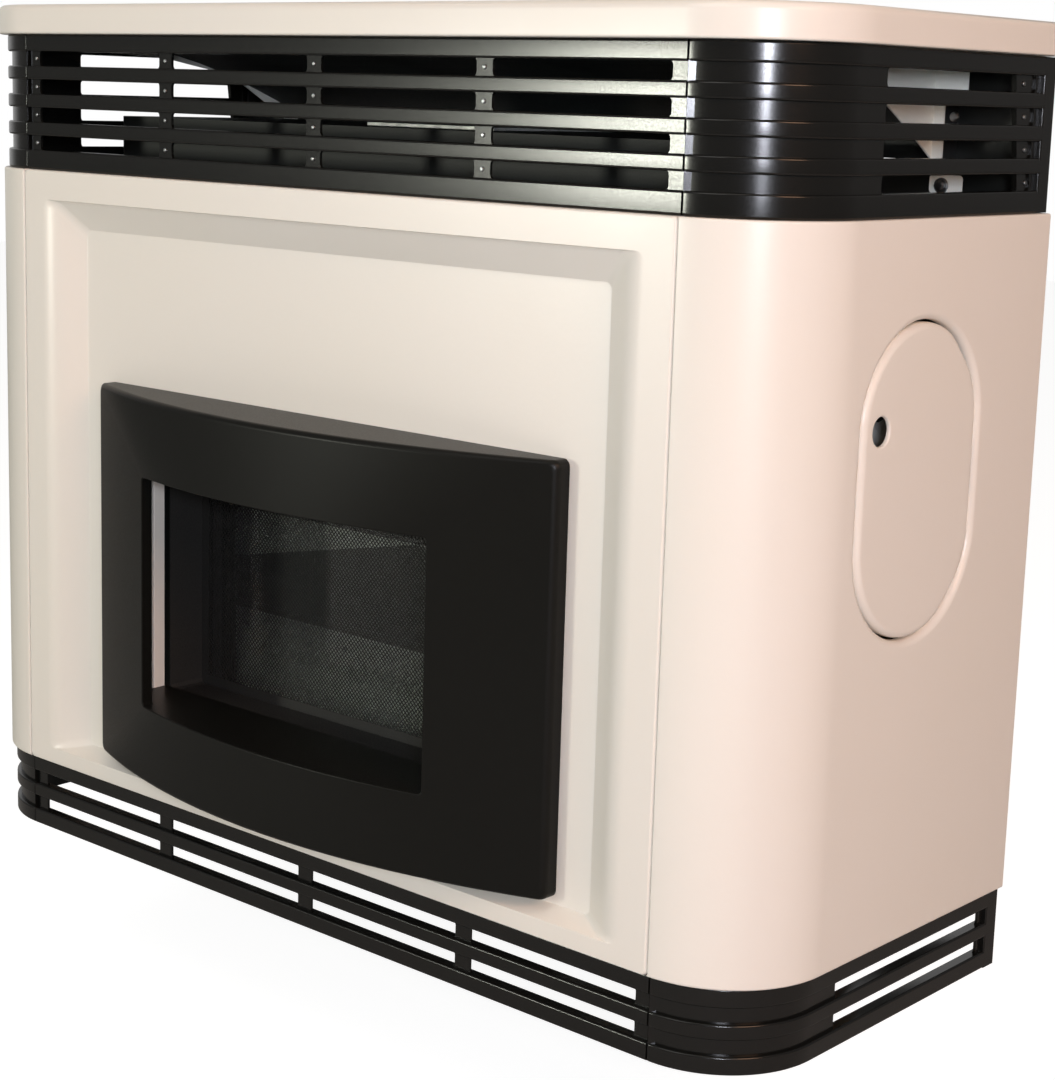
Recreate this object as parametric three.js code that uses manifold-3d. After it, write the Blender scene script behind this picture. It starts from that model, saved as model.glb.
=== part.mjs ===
// Wall mounted gas heater with a pressed cream case, slatted grilles and a bowed window frame.
// Millimetres, +Z up, the front faces -Y and the wall is the plane y = 0.
// Inside `heater` z = 0 is the bottom edge of the case; the group is then lowered so that the
// origin is the middle of the hanging rail's wall face.
import * as THREE from 'three';
import { mergeVertices } from 'three/addons/utils/BufferGeometryUtils.js';
import Module from 'manifold-3d';

const wasm = await Module();
wasm.setup();

// ---- driving sizes ----
const GAP = 0.3;                 // between pieces that seat on each other
const CASE_W = 756;
const CASE_D = 294;
const CASE_CORNER_R = 74;        // front corners in plan
const WALL_GAP = 2;              // case to wall
const SHEET = 1.5;               // case sheet
const SEAM_GAP = 0.8;            // open joint between front pieces and corner pieces
const EDGE_R = 2;                // folded edges of the front panel
const FOLD = 14;                 // depth of the folded edges

const LOWER_H = 55;              // lower grille
const PANEL_H = 450;             // front panel and side covers
const UPPER_H = 97.5;            // upper grille
const LID_H = 21;
const LID_OVERHANG = 3;
const LID_EDGE_R = 5;
const LID_FOLD = 13;

const SLAT_PITCH = 20.2;
const SLOT_H = 10.4;
const SLAT_D = 8;                // front to back
const SLAT_R = 1.5;
const GRILLE_INSET = 3.5;        // grille face behind the case face
const WEB_INSET = 3;             // web behind the slat faces
const WEB_T = 2;
const MULLION_W = 13;
const SLOT_COLUMNS = 4;
const SLOT_END_MARGIN = 18;      // last slot to the seam
const SLOT_CORNER_R = 3;
const LAP = 0.6;                 // how far the web's cuts run behind the slats
const SIDE_SLOT_FRONT = 90;      // distance of the side slot's front end behind the case front
const SIDE_SLOT_REAR = 30;       // distance of its rear end from the wall
const UPPER_ROWS = 4;
const LOWER_ROWS = 2;
const UPPER_FIRST_ROW = 19.4;    // first slot centre above the grille's bottom
const LOWER_FIRST_ROW = 17.2;

const RECESS_D = 14.5;
const RECESS_SIDE = 22;          // recess edge to panel edge
const RECESS_TOP = 21;
const RECESS_BOTTOM = 12.5;
const BEVEL_SIDE = 35;
const BEVEL_TOP = 21;
const BEVEL_BOTTOM = 6;
const RECESS_R = 12;
const CUTOUT_W = 344;
const CUTOUT_H = 154;
const CUTOUT_Z = 209;            // centre of the cut-out
const CUTOUT_R = 5;
const CUTOUT_FOLD = 9.5;

const BEZEL_W = 440;
const BEZEL_H = 277;
const BEZEL_Z = 216.5;           // centre of the bezel
const BEZEL_RIM = 11.5;          // height of its ends over the recess floor
const BEZEL_BOW = 44;            // further rise of the middle
const BEZEL_T = 2;
const BEZEL_R = 4;
const BEZEL_CORNER_R = 5;
const VIEW_W = 276;
const VIEW_H = 165;
const VIEW_LIP = 9;              // folded sides of the opening
const LEDGE_T = 1.4;             // sheets above and below the opening, back to the recess floor
const LEDGE_IN = 5;              // their ends inside the folded sides

const DOOR_W = 126;
const DOOR_H = 191;
const DOOR_Y = -142;
const DOOR_Z = 347.5;
const DOOR_GAP = 3;
const DOOR_EDGE_R = 5;
const DOOR_RIM = 8;
const DOOR_HOLE_R = 9;
const DOOR_HOLE_IN = 18.5;       // finger hole centre from the front edge
const DOOR_HOLE_UP = 34.5;       // above the door's middle
const HINGE_IN = 14;             // hinge axis from the door's rear edge
const HINGE_DEPTH = 5;           // hinge axis under the door's face
const PIN_R = 1.5;
const PIN_LEN = 57;
const PIN_CLEAR = 0.3;
const EYE_R = 3.1;
const EYE_H = 23;
const LUG_H = 8;
const LUG_OUT = 20.5;            // lug centre from the pin's middle
const CATCH_FOOT = 4.5;

const EX_FRONT = 220;            // heat exchanger front from the wall
const EX_BACK = 62;
const SIDE_PASSAGE = 93;         // case side to the exchanger on the left
const CONTROL_BAY = 133;         // case side to the exchanger on the right, with the controls between
const EX_BOTTOM = 92;
const EX_UNDER_RAIL = 15;        // exchanger roof below the rail's middle
const EX_T = 2;
const EX_R = 6;
const PORT_W = 300;              // window opening in the exchanger
const PORT_BOTTOM = 130.5;
const PORT_H = 135.5;
const PORT_R = 6;
const GASKET_W = 8;
const GASKET_T = 4;
const GASKET_IN = 3;
const GLASS_T = 4;
const GLASS_OVER = 12;           // glass past the opening on each side
const CLAMP_T = 1.5;
const CLAMP_LIP = 6;
const CLAMP_FLANGE = 22;
const MESH_T = 0.8;
const MESH_COLS = 10;
const MESH_ROWS = 5;
const MESH_BAR = 1.6;
const DUCT_W = 350;
const DUCT_BOTTOM = 128;
const DUCT_TOP = 290;
const DUCT_T = 1.2;
const DUCT_FLANGE = 12;
const DUCT_CLEAR = 8;            // duct front to the panel's folded cut-out

const RAIL_Z = 560;
const RAIL_H = 50;
const RAIL_T = 2;
const RAIL_LIP = 12;
const LOWER_RAIL_Z = 85;
const UPRIGHT_OUT = 14;          // upright's outer face inside the case side
const UPRIGHT_W = 58;
const UPRIGHT_D = 21.7;
const UPRIGHT_T = 1.5;
const UPRIGHT_BOTTOM = 60;

const GUARD_CLEAR = 2;           // guard behind the exchanger's corner rounding
const GUARD_TOP = 156;
const GUARD_PEAK = 178;
const GUARD_RUN = 22;
const GUARD_T = 1.5;
const BURNER_R = 16;
const BURNER_T = 1.5;
const BURNER_Y = -150;
const BURNER_Z = 156;
const BURNER_OUT = 17;           // burner tube past the exchanger's right wall
const BURNER_PORTS = 8;
const PILOT_FRONT = 18;          // pilot in front of the burner's axis
const PILOT_UP = 36;             // pilot over the burner's axis
const PILOT_PITCH = 10;          // probe and electrode to each side of it
const FOOT_IN = 85;              // exchanger feet from the exchanger's ends

const BAFFLE_BACK = 14;          // baffle behind the guard's face
const BAFFLE_T = 1.5;

const FLUE_R = 40;
const FLUE_T = 2;
const FLUE_Z = 440;
const FLUE_X = -20;
const AIR_R = 70;
const AIR_T = 1.5;
const PIPE_END = 4;              // ducts end short of the wall by this much
const CHANNEL_W = 180;
const CHANNEL_BOTTOM = 100;
const CHANNEL_BACK = 26;
const CHANNEL_T = 1.5;
const SHIELD_Y = 24;
const SHIELD_T = 1.5;
const SHIELD_BOTTOM = 125;
const SHIELD_UNDER = 15;         // heat shield below the exchanger roof

const DEFLECTOR_T = 1.2;
const DEFLECTOR_CLEAR = 5;       // deflector inside the uprights
const DEFLECTOR_Y0 = 30;
const DEFLECTOR_Y1 = 210;
const DEFLECTOR_RISE = 45;
const DEFLECTOR_UNDER = 5.5;     // deflector's front edge below the lid

const PLATE_DEPTH = 33;          // outer face of the control bracket inside the case side
const PLATE_T = 1.5;
const PLATE_Y0 = -200;
const PLATE_Y1 = -60;
const PLATE_Z0 = 270;
const PLATE_Z1 = 430;
const KNOB_Z = 322;
const KNOB_Y = -142;
const KNOB_R = 23;
const KNOB_L = 16;
const KNOB_PRESS = 5;
const KNOB_GRIPS = 14;
const SPINDLE_R = 4;
const SPINDLE_CLEAR = 0.4;
const PIEZO_Z = 392;
const PIEZO_Y = -142;
const PIEZO_R = 9;
const PIEZO_L = 40;
const BUTTON_R = 6;
const BUTTON_CLEAR = 0.4;
const BUTTON_PRESS = 7;

// ---- derived levels and outlines ----
const HALF = CASE_W / 2;
const PANEL_Z0 = LOWER_H;
const PANEL_Z1 = PANEL_Z0 + PANEL_H;
const LID_Z0 = PANEL_Z1 + UPPER_H;
const LID_Z1 = LID_Z0 + LID_H;
const CORNER_X = HALF - CASE_CORNER_R;
const CORNER_Y = -(CASE_D - CASE_CORNER_R);
const SEAM_X = CORNER_X;
const FRONT_HALF = SEAM_X - SEAM_GAP / 2;
const SIDE_START = SEAM_X + SEAM_GAP / 2;
const FLOOR_Y = -(CASE_D - RECESS_D);
const DEFLECTOR_Z1 = LID_Z0 - DEFLECTOR_UNDER;
const DEFLECTOR_Z0 = DEFLECTOR_Z1 - DEFLECTOR_RISE;
const EX_LEFT = HALF - SIDE_PASSAGE;
const EX_RIGHT = HALF - CONTROL_BAY;
const UPRIGHT_X1 = HALF - UPRIGHT_OUT;
const UPRIGHT_X0 = UPRIGHT_X1 - UPRIGHT_W;
const DEFLECTOR_HALF = UPRIGHT_X0 - DEFLECTOR_CLEAR;
const PLATE_X = HALF - PLATE_DEPTH;
const EX_TOP = RAIL_Z - EX_UNDER_RAIL;
const SHIELD_TOP = EX_TOP - SHIELD_UNDER;
const CHANNEL_TOP = SHIELD_TOP;

// ---- colours ----
function finish(color, roughness, metalness) {
  return new THREE.MeshStandardMaterial({ color, roughness, metalness, flatShading: true });
}
const cream = finish('#E2D7C4', 0.28, 0.0);
const grilleBlack = finish('#262622', 0.4, 0.0);
const bezelBlack = finish('#1C1C1A', 0.35, 0.0);
const heatBlack = finish('#1A1A19', 0.75, 0.2);
const enamelGrey = finish('#3A3D38', 0.55, 0.2);
const galvanised = finish('#B9BDBE', 0.38, 0.9);
const castAlloy = finish('#A3A6A8', 0.5, 0.8);
const brassy = finish('#B58E4A', 0.35, 0.9);
const copper = finish('#B06A45', 0.35, 0.9);
const steel = finish('#8E9092', 0.35, 0.9);
const ropeGrey = finish('#C9C4B4', 0.95, 0.0);
const ceramic = finish('#E9E6DC', 0.4, 0.0);
const knobBlack = finish('#1B1B1C', 0.45, 0.0);
const buttonRed = finish('#8E2420', 0.4, 0.0);
const rubberBlack = finish('#161617', 0.7, 0.0);
const clearGlass = new THREE.MeshStandardMaterial({
  color: '#D7DEDB', roughness: 0.05, metalness: 0, transparent: true, opacity: 0.3,
});

// ---- general geometry helpers ----
function signedVolume(position, index) {
  let v = 0;
  for (let i = 0; i < index.length; i += 3) {
    const [a, b, c] = [index[i] * 3, index[i + 1] * 3, index[i + 2] * 3];
    v += position[a] * (position[b + 1] * position[c + 2] - position[b + 2] * position[c + 1]);
    v -= position[a + 1] * (position[b] * position[c + 2] - position[b + 2] * position[c]);
    v += position[a + 2] * (position[b] * position[c + 1] - position[b + 1] * position[c]);
  }
  return v;
}

// Area of a flat outline, positive when it runs counterclockwise
function flatArea(points) {
  return THREE.ShapeUtils.area(points);
}

// Triangles over the end ring that starts at `offset`, turned along or against the ring
function capRing(ring, offset, along) {
  const spans = [0, 1, 2].map((axis) => {
    const values = ring.map((p) => p[axis]);
    return Math.max(...values) - Math.min(...values);
  });
  const thin = spans.indexOf(Math.min(...spans));
  const [u, v] = [0, 1, 2].filter((axis) => axis !== thin);
  const flat = ring.map((p) => new THREE.Vector2(p[u], p[v]));
  const wanted = Math.sign(flatArea(flat)) * (along ? 1 : -1);
  const triangles = [];
  for (const [i, j, k] of THREE.ShapeUtils.triangulateShape(flat, [])) {
    const kept = Math.sign(flatArea([flat[i], flat[j], flat[k]])) === wanted;
    triangles.push(offset + i, offset + (kept ? j : k), offset + (kept ? k : j));
  }
  return triangles;
}

// Rings of equal length joined into one skin: closed on itself, or capped at both ends
function loft(rings, closedOnItself) {
  const n = rings[0].length;
  const position = rings.flat(2);
  const index = [];
  const bands = closedOnItself ? rings.length : rings.length - 1;
  for (let k = 0; k < bands; k++) {
    const a = k * n;
    const b = ((k + 1) % rings.length) * n;
    for (let i = 0; i < n; i++) {
      const j = (i + 1) % n;
      index.push(a + i, a + j, b + j, a + i, b + j, b + i);
    }
  }
  if (!closedOnItself) {
    index.push(...capRing(rings[0], 0, false), ...capRing(rings.at(-1), bands * n, true));
  }
  if (signedVolume(position, index) < 0) {
    for (let i = 0; i < index.length; i += 3) {
      [index[i + 1], index[i + 2]] = [index[i + 2], index[i + 1]];
    }
  }
  const geometry = new THREE.BufferGeometry();
  geometry.setAttribute('position', new THREE.Float32BufferAttribute(position, 3));
  geometry.setIndex(index);
  geometry.computeVertexNormals();
  return geometry;
}

function solid(geometry) {
  const bare = geometry.clone();
  bare.deleteAttribute('normal');
  bare.deleteAttribute('uv');
  const merged = mergeVertices(bare, 1e-4);
  return new wasm.Manifold(new wasm.Mesh({
    numProp: 3,
    vertProperties: new Float32Array(merged.attributes.position.array),
    triVerts: new Uint32Array(merged.index.array),
  }));
}

function skin(body) {
  const mesh = body.getMesh();
  const geometry = new THREE.BufferGeometry();
  geometry.setAttribute('position', new THREE.BufferAttribute(mesh.vertProperties, 3));
  geometry.setIndex(new THREE.BufferAttribute(mesh.triVerts, 1));
  geometry.computeVertexNormals();
  return geometry;
}

function join(...pieces) {
  return skin(pieces.map(solid).reduce((a, b) => a.add(b)));
}

function cut(body, ...tools) {
  return skin(tools.map(solid).reduce((a, b) => a.subtract(b), solid(body)));
}

function box(x0, x1, y0, y1, z0, z1) {
  const geometry = new THREE.BoxGeometry(Math.abs(x1 - x0), Math.abs(y1 - y0), Math.abs(z1 - z0));
  return geometry.translate((x0 + x1) / 2, (y0 + y1) / 2, (z0 + z1) / 2);
}

function shapeOf(points, holes = []) {
  const shape = new THREE.Shape(points.map(([a, b]) => new THREE.Vector2(a, b)));
  for (const hole of holes) shape.holes.push(new THREE.Path(hole.map(([a, b]) => new THREE.Vector2(a, b))));
  return shape;
}

function extrude(points, length, holes = []) {
  return new THREE.ExtrudeGeometry(shapeOf(points, holes), { depth: length, bevelEnabled: false });
}

// Plan outline (x, y) raised from z0 to z1
function extrudeZ(points, z0, z1, holes = []) {
  return extrude(points, z1 - z0, holes).translate(0, 0, z0);
}

// Front outline (x, z) carried from y0 back to y1
function extrudeY(points, y0, y1, holes = []) {
  return extrude(points, y1 - y0, holes).rotateX(Math.PI / 2).translate(0, y1, 0);
}

// Side outline (y, z) carried from x0 to x1
function extrudeX(points, x0, x1, holes = []) {
  const geometry = extrude(points, x1 - x0, holes);
  geometry.applyMatrix4(new THREE.Matrix4().set(0, 0, 1, x0, 1, 0, 0, 0, 0, 1, 0, 0, 0, 0, 0, 1));
  return geometry;
}

function mirrored(geometry) {
  const copy = mergeVertices(geometry.clone().deleteAttribute('normal').deleteAttribute('uv'), 1e-4);
  copy.applyMatrix4(new THREE.Matrix4().makeScale(-1, 1, 1));
  const index = copy.index.array;
  for (let i = 0; i < index.length; i += 3) {
    [index[i + 1], index[i + 2]] = [index[i + 2], index[i + 1]];
  }
  copy.computeVertexNormals();
  return copy;
}

function arc(cx, cy, r, from, to, steps) {
  const points = [];
  for (let i = 0; i <= steps; i++) {
    const a = from + (to - from) * i / steps;
    points.push([cx + r * Math.cos(a), cy + r * Math.sin(a)]);
  }
  return points;
}

// Rounded rectangle, four corners of equal radius, counterclockwise from the lower right
function roundedRect(x0, x1, z0, z1, r, steps = 3, across = 0) {
  const q = Math.PI / 2;
  const top = [];
  const bottom = [];
  for (let i = 1; i <= across; i++) {
    const t = i / (across + 1);
    top.push([x1 - r + (x0 - x1 + 2 * r) * t, z1]);
    bottom.push([x0 + r + (x1 - x0 - 2 * r) * t, z0]);
  }
  return [
    ...arc(x1 - r, z0 + r, r, -q, 0, steps),
    ...arc(x1 - r, z1 - r, r, 0, q, steps),
    ...top,
    ...arc(x0 + r, z1 - r, r, q, 2 * q, steps),
    ...arc(x0 + r, z0 + r, r, 2 * q, 3 * q, steps),
    ...bottom,
  ];
}

// Upright oval with straight flanks, as (y, z) points, grown by `offset`
function stadium(offset, steps = 10) {
  const r = DOOR_W / 2 + offset;
  const rise = (DOOR_H - DOOR_W) / 2;
  return [
    ...arc(DOOR_Y, DOOR_Z + rise, r, 0, Math.PI, steps),
    ...arc(DOOR_Y, DOOR_Z - rise, r, Math.PI, 2 * Math.PI, steps),
  ];
}

// Turned piece along X: profile of (radius, x) points
function turnX(profile, y, z, segments = 24) {
  const points = profile.map(([r, x]) => new THREE.Vector2(r, x));
  const geometry = new THREE.LatheGeometry(points, segments);
  geometry.applyMatrix4(new THREE.Matrix4().set(0, 1, 0, 0, 1, 0, 0, y, 0, 0, -1, z, 0, 0, 0, 1));
  return outward(geometry);
}

// Turned piece along Y: profile of (radius, y) points
function turnY(profile, x, z, segments = 16) {
  const points = profile.map(([r, y]) => new THREE.Vector2(r, y));
  return outward(new THREE.LatheGeometry(points, segments).translate(x, 0, z));
}

// Turned piece along Z: profile of (radius, z) points
function turnZ(profile, x, y, segments = 20) {
  const points = profile.map(([r, z]) => new THREE.Vector2(r, z));
  return outward(new THREE.LatheGeometry(points, segments).rotateX(Math.PI / 2).translate(x, y, 0));
}

function outward(geometry) {
  const bare = geometry.clone();
  bare.deleteAttribute('normal');
  bare.deleteAttribute('uv');
  const merged = mergeVertices(bare, 1e-4);
  const index = Array.from(merged.index.array);
  const kept = [];
  for (let i = 0; i < index.length; i += 3) {
    const [a, b, c] = index.slice(i, i + 3);
    if (a !== b && b !== c && c !== a) kept.push(a, b, c);
  }
  if (signedVolume(merged.attributes.position.array, kept) < 0) {
    for (let i = 0; i < kept.length; i += 3) [kept[i + 1], kept[i + 2]] = [kept[i + 2], kept[i + 1]];
  }
  merged.setIndex(kept);
  merged.computeVertexNormals();
  return merged;
}

// Straight runs joined by rounded bends; its stations lie only where the direction changes
class BentPath extends THREE.Curve {
  constructor(corners, bend) {
    super();
    const points = corners.map((p) => new THREE.Vector3(...p));
    this.stations = [points[0]];
    for (let i = 1; i < points.length - 1; i++) {
      const [before, at, after] = [points[i - 1], points[i], points[i + 1]];
      const reach = Math.min(bend, 0.45 * before.distanceTo(at), 0.45 * at.distanceTo(after));
      const from = at.clone().add(before.clone().sub(at).setLength(reach));
      const to = at.clone().add(after.clone().sub(at).setLength(reach));
      this.stations.push(...new THREE.QuadraticBezierCurve3(from, at, to).getPoints(3));
    }
    this.stations.push(points.at(-1));
  }

  getPointAt(u) {
    return this.stations[Math.round(u * (this.stations.length - 1))].clone();
  }

  getTangentAt(u) {
    const i = Math.round(u * (this.stations.length - 1));
    const at = this.stations[i];
    const tangent = new THREE.Vector3();
    if (i > 0) tangent.add(at.clone().sub(this.stations[i - 1]).normalize());
    if (i < this.stations.length - 1) tangent.add(this.stations[i + 1].clone().sub(at).normalize());
    return tangent.normalize();
  }
}

// Round bar or tube through the corner points
function pipe(corners, r, bend, sides = 6) {
  const path = new BentPath(corners, bend);
  const section = shapeOf(arc(0, 0, r, 0, 2 * Math.PI * (1 - 1 / sides), sides - 1));
  const steps = path.stations.length - 1;
  return outward(new THREE.ExtrudeGeometry(section, { steps, extrudePath: path, bevelEnabled: false }));
}

function rodX(r, x0, x1, y, z, segments = 20) {
  return turnX([[0, x0], [r, x0], [r, x1], [0, x1]], y, z, segments);
}

function rodY(r, y0, y1, x, z, segments = 16) {
  return turnY([[0, y0], [r, y0], [r, y1], [0, y1]], x, z, segments);
}

function rodZ(r, z0, z1, x, y, segments = 20) {
  return turnZ([[0, z0], [r, z0], [r, z1], [0, z1]], x, y, segments);
}

// ---- scene graph ----
const heater = new THREE.Group();
heater.position.set(0, 0, -RAIL_Z);

function place(name, geometry, material, parent = heater) {
  const mesh = new THREE.Mesh(geometry, material);
  mesh.name = name;
  parent.add(mesh);
  return mesh;
}

// ---- plan outlines of the case ----
// Right-hand outline from the seam round the corner to the wall, `inset` inside the case face
function cornerLine(inset, trim = 0, steps = 6) {
  const r = CASE_CORNER_R - inset;
  const start = SIDE_START + trim;
  const from = start > CORNER_X ? -Math.acos((start - CORNER_X) / r) : -Math.PI / 2;
  const lead = start < CORNER_X ? [[start, -(CASE_D - inset)]] : [];
  return [...lead, ...arc(CORNER_X, CORNER_Y, r, from, 0, steps), [HALF - inset, -WALL_GAP - trim]];
}

// Closed strip between two insets of that outline
function cornerStrip(inset, thickness, trim = 0) {
  return [...cornerLine(inset, trim), ...cornerLine(inset + thickness, trim).reverse()];
}

// Whole outline of the lid, `inset` inside its outer face
function lidRing(inset, z) {
  const out = HALF + LID_OVERHANG - inset;
  const r = CASE_CORNER_R + LID_OVERHANG - inset;
  const back = -(WALL_GAP + inset);
  return [
    [out, back, z],
    [-out, back, z],
    ...arc(-CORNER_X, CORNER_Y, r, Math.PI, 1.5 * Math.PI, 7).map(([x, y]) => [x, y, z]),
    ...arc(CORNER_X, CORNER_Y, r, 1.5 * Math.PI, 2 * Math.PI, 7).map(([x, y]) => [x, y, z]),
  ];
}

// ---- lid ----
{
  const rings = [
    lidRing(LID_EDGE_R, LID_Z1 - SHEET),
    lidRing(SHEET, LID_Z1 - LID_EDGE_R),
    lidRing(SHEET, LID_Z0 + SHEET),
    lidRing(LID_FOLD, LID_Z0 + SHEET),
    lidRing(LID_FOLD, LID_Z0),
    lidRing(0, LID_Z0),
  ];
  for (let i = 0; i <= 3; i++) {
    const a = Math.PI / 2 * i / 3;
    rings.push(lidRing(LID_EDGE_R * (1 - Math.cos(a)), LID_Z1 - LID_EDGE_R * (1 - Math.sin(a))));
  }
  place('top_lid', loft(rings, false), cream);
}

// ---- front panel: folded edges, pressed recess with soft shoulders, folded window cut-out ----
function smoothStep(s) {
  return s * s * (3 - 2 * s);
}

{
  const edge = { x: FRONT_HALF, z0: PANEL_Z0, z1: PANEL_Z1 };
  const outer = { x: SEAM_X - RECESS_SIDE, z0: PANEL_Z0 + RECESS_BOTTOM, z1: PANEL_Z1 - RECESS_TOP };
  const inner = { x: outer.x - BEVEL_SIDE, z0: outer.z0 + BEVEL_BOTTOM, z1: outer.z1 - BEVEL_TOP };
  const hole = { x: CUTOUT_W / 2, z0: CUTOUT_Z - CUTOUT_H / 2, z1: CUTOUT_Z + CUTOUT_H / 2 };
  const ring = (f, grow, r, y) => roundedRect(-f.x - grow, f.x + grow, f.z0 - grow, f.z1 + grow, r, 3)
    .map(([x, z]) => [x, y, z]);
  const shoulders = [0, 0.2, 0.5, 0.8, 1];
  const front = shoulders.map((s) => {
    const mix = (a, b) => a + (b - a) * s;
    const f = { x: mix(outer.x, inner.x), z0: mix(outer.z0, inner.z0), z1: mix(outer.z1, inner.z1) };
    return ring(f, 0, RECESS_R, -CASE_D + RECESS_D * smoothStep(s));
  });
  const back = shoulders.map((s) => {
    const mix = (a, b) => a + (b - a) * s;
    const rise = RECESS_D * 6 * s * (1 - s);
    const shift = (run) => SHEET * Math.tan(Math.atan2(rise, run) / 2);
    const f = {
      x: mix(outer.x, inner.x) + shift(BEVEL_SIDE),
      z0: mix(outer.z0, inner.z0) - shift(BEVEL_BOTTOM),
      z1: mix(outer.z1, inner.z1) + shift(BEVEL_TOP),
    };
    return ring(f, 0, RECESS_R, -CASE_D + SHEET + RECESS_D * smoothStep(s));
  }).reverse();
  const rings = [
    ring(edge, 0, EDGE_R, -CASE_D + FOLD),
    ring(edge, 0, EDGE_R, -CASE_D + EDGE_R),
    ring(edge, -0.3 * EDGE_R, EDGE_R, -CASE_D + 0.3 * EDGE_R),
    ring(edge, -EDGE_R, EDGE_R, -CASE_D),
    ...front,
    ring(hole, 1, CUTOUT_R + 1, FLOOR_Y),
    ring(hole, 0, CUTOUT_R, FLOOR_Y + 1),
    ring(hole, 0, CUTOUT_R, FLOOR_Y + CUTOUT_FOLD),
    ring(hole, SHEET, CUTOUT_R, FLOOR_Y + CUTOUT_FOLD),
    ring(hole, SHEET, CUTOUT_R, FLOOR_Y + SHEET),
    ...back,
    ring(edge, -EDGE_R, EDGE_R, -CASE_D + SHEET),
    ring(edge, -SHEET, EDGE_R, -CASE_D + EDGE_R),
    ring(edge, -SHEET, EDGE_R, -CASE_D + FOLD),
  ];
  place('front_panel', loft(rings, true), cream);
}

// ---- side covers ----
const COVER_FOLD = UPRIGHT_OUT - GAP;

function sideCover() {
  return join(
    extrudeZ(cornerStrip(0, SHEET), PANEL_Z0, PANEL_Z1),
    extrudeZ(cornerStrip(0, COVER_FOLD), PANEL_Z0, PANEL_Z0 + SHEET),
    extrudeZ(cornerStrip(0, COVER_FOLD), PANEL_Z1 - SHEET, PANEL_Z1),
    box(SIDE_START, SIDE_START + SHEET, -CASE_D + SHEET / 2, -CASE_D + FOLD, PANEL_Z0, PANEL_Z1),
    box(HALF - COVER_FOLD, HALF, -WALL_GAP - SHEET, -WALL_GAP, PANEL_Z0, PANEL_Z1),
  );
}

// Rounded lip that leads from the cover's face down into the door opening
function doorCollar() {
  const ring = (offset, x) => stadium(DOOR_GAP + offset).map(([y, z]) => [x, y, z]);
  const rings = [ring(DOOR_EDGE_R + SHEET, HALF)];
  for (let i = 0; i <= 2; i++) {
    const a = Math.PI / 2 * i / 2;
    rings.push(ring(DOOR_EDGE_R * (1 - Math.sin(a)), HALF - DOOR_EDGE_R * (1 - Math.cos(a))));
  }
  rings.push(ring(0, HALF - DOOR_RIM), ring(SHEET, HALF - DOOR_RIM));
  for (let i = 2; i >= 0; i--) {
    const a = Math.PI / 2 * i / 2;
    const r = DOOR_EDGE_R - SHEET;
    rings.push(ring(DOOR_EDGE_R - r * Math.sin(a), HALF - DOOR_EDGE_R + r * Math.cos(a)));
  }
  rings.push(ring(DOOR_EDGE_R + SHEET, HALF - SHEET));
  return loft(rings, true);
}

{
  const opening = extrudeX(stadium(DOOR_GAP + DOOR_EDGE_R), HALF - 3 * SHEET, HALF + SHEET);
  const plain = sideCover();
  place('side_cover_right', join(cut(plain, opening), doorCollar()), cream);
  place('side_cover_left', mirrored(sideCover()), cream);
}

// ---- control door, hinged along its rear flank ----
const HINGE_Y = DOOR_Y + DOOR_W / 2 - HINGE_IN;
const HINGE_X = HALF - HINGE_DEPTH;
const doorGroup = new THREE.Group();
heater.add(doorGroup);

{
  const ring = (inset, x) => stadium(-inset).map(([y, z]) => [x, y, z]);
  const rings = [
    ring(DOOR_EDGE_R, HALF - SHEET),
    ring(SHEET, HALF - DOOR_EDGE_R),
    ring(SHEET, HALF - DOOR_RIM),
    ring(0, HALF - DOOR_RIM),
  ];
  for (let i = 0; i <= 2; i++) {
    const a = Math.PI / 2 * i / 2;
    rings.push(ring(DOOR_EDGE_R * (1 - Math.cos(a)), HALF - DOOR_EDGE_R * (1 - Math.sin(a))));
  }
  const tray = loft(rings, false);
  const holeY = DOOR_Y - DOOR_W / 2 + DOOR_HOLE_IN;
  const fingerHole = rodX(DOOR_HOLE_R, HALF - 2 * DOOR_RIM, HALF + SHEET, holeY, DOOR_Z + DOOR_HOLE_UP, 16);
  const relief = box(
    HALF - 2 * DOOR_RIM, HALF - SHEET,
    HINGE_Y + EYE_R + 1, DOOR_Y + DOOR_W / 2 + 1,
    DOOR_Z - EYE_H / 2 - 4, DOOR_Z + EYE_H / 2 + 4,
  );
  const lugAt = (z) => {
    const face = HALF - SHEET / 2;
    const outline = [
      [face, HINGE_Y - EYE_R],
      [face, HINGE_Y + EYE_R],
      ...arc(HINGE_X, HINGE_Y, EYE_R, Math.PI / 2, 1.5 * Math.PI, 8),
    ];
    return extrudeZ(outline, z - LUG_H / 2, z + LUG_H / 2);
  };
  const body = join(cut(tray, fingerHole, relief), lugAt(DOOR_Z - LUG_OUT), lugAt(DOOR_Z + LUG_OUT));
  const bore = rodZ(PIN_R + PIN_CLEAR, DOOR_Z - PIN_LEN, DOOR_Z + PIN_LEN, HINGE_X, HINGE_Y, 12);
  place('control_door', cut(body, bore), cream, doorGroup);
}

// Hinge pin held by the cranked bracket's eye; it passes through the door's two lugs
{
  const half = PIN_LEN / 2;
  place('door_hinge_pin', rodZ(PIN_R, DOOR_Z - half, DOOR_Z + half, HINGE_X, HINGE_Y, 12), steel);
}

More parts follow.
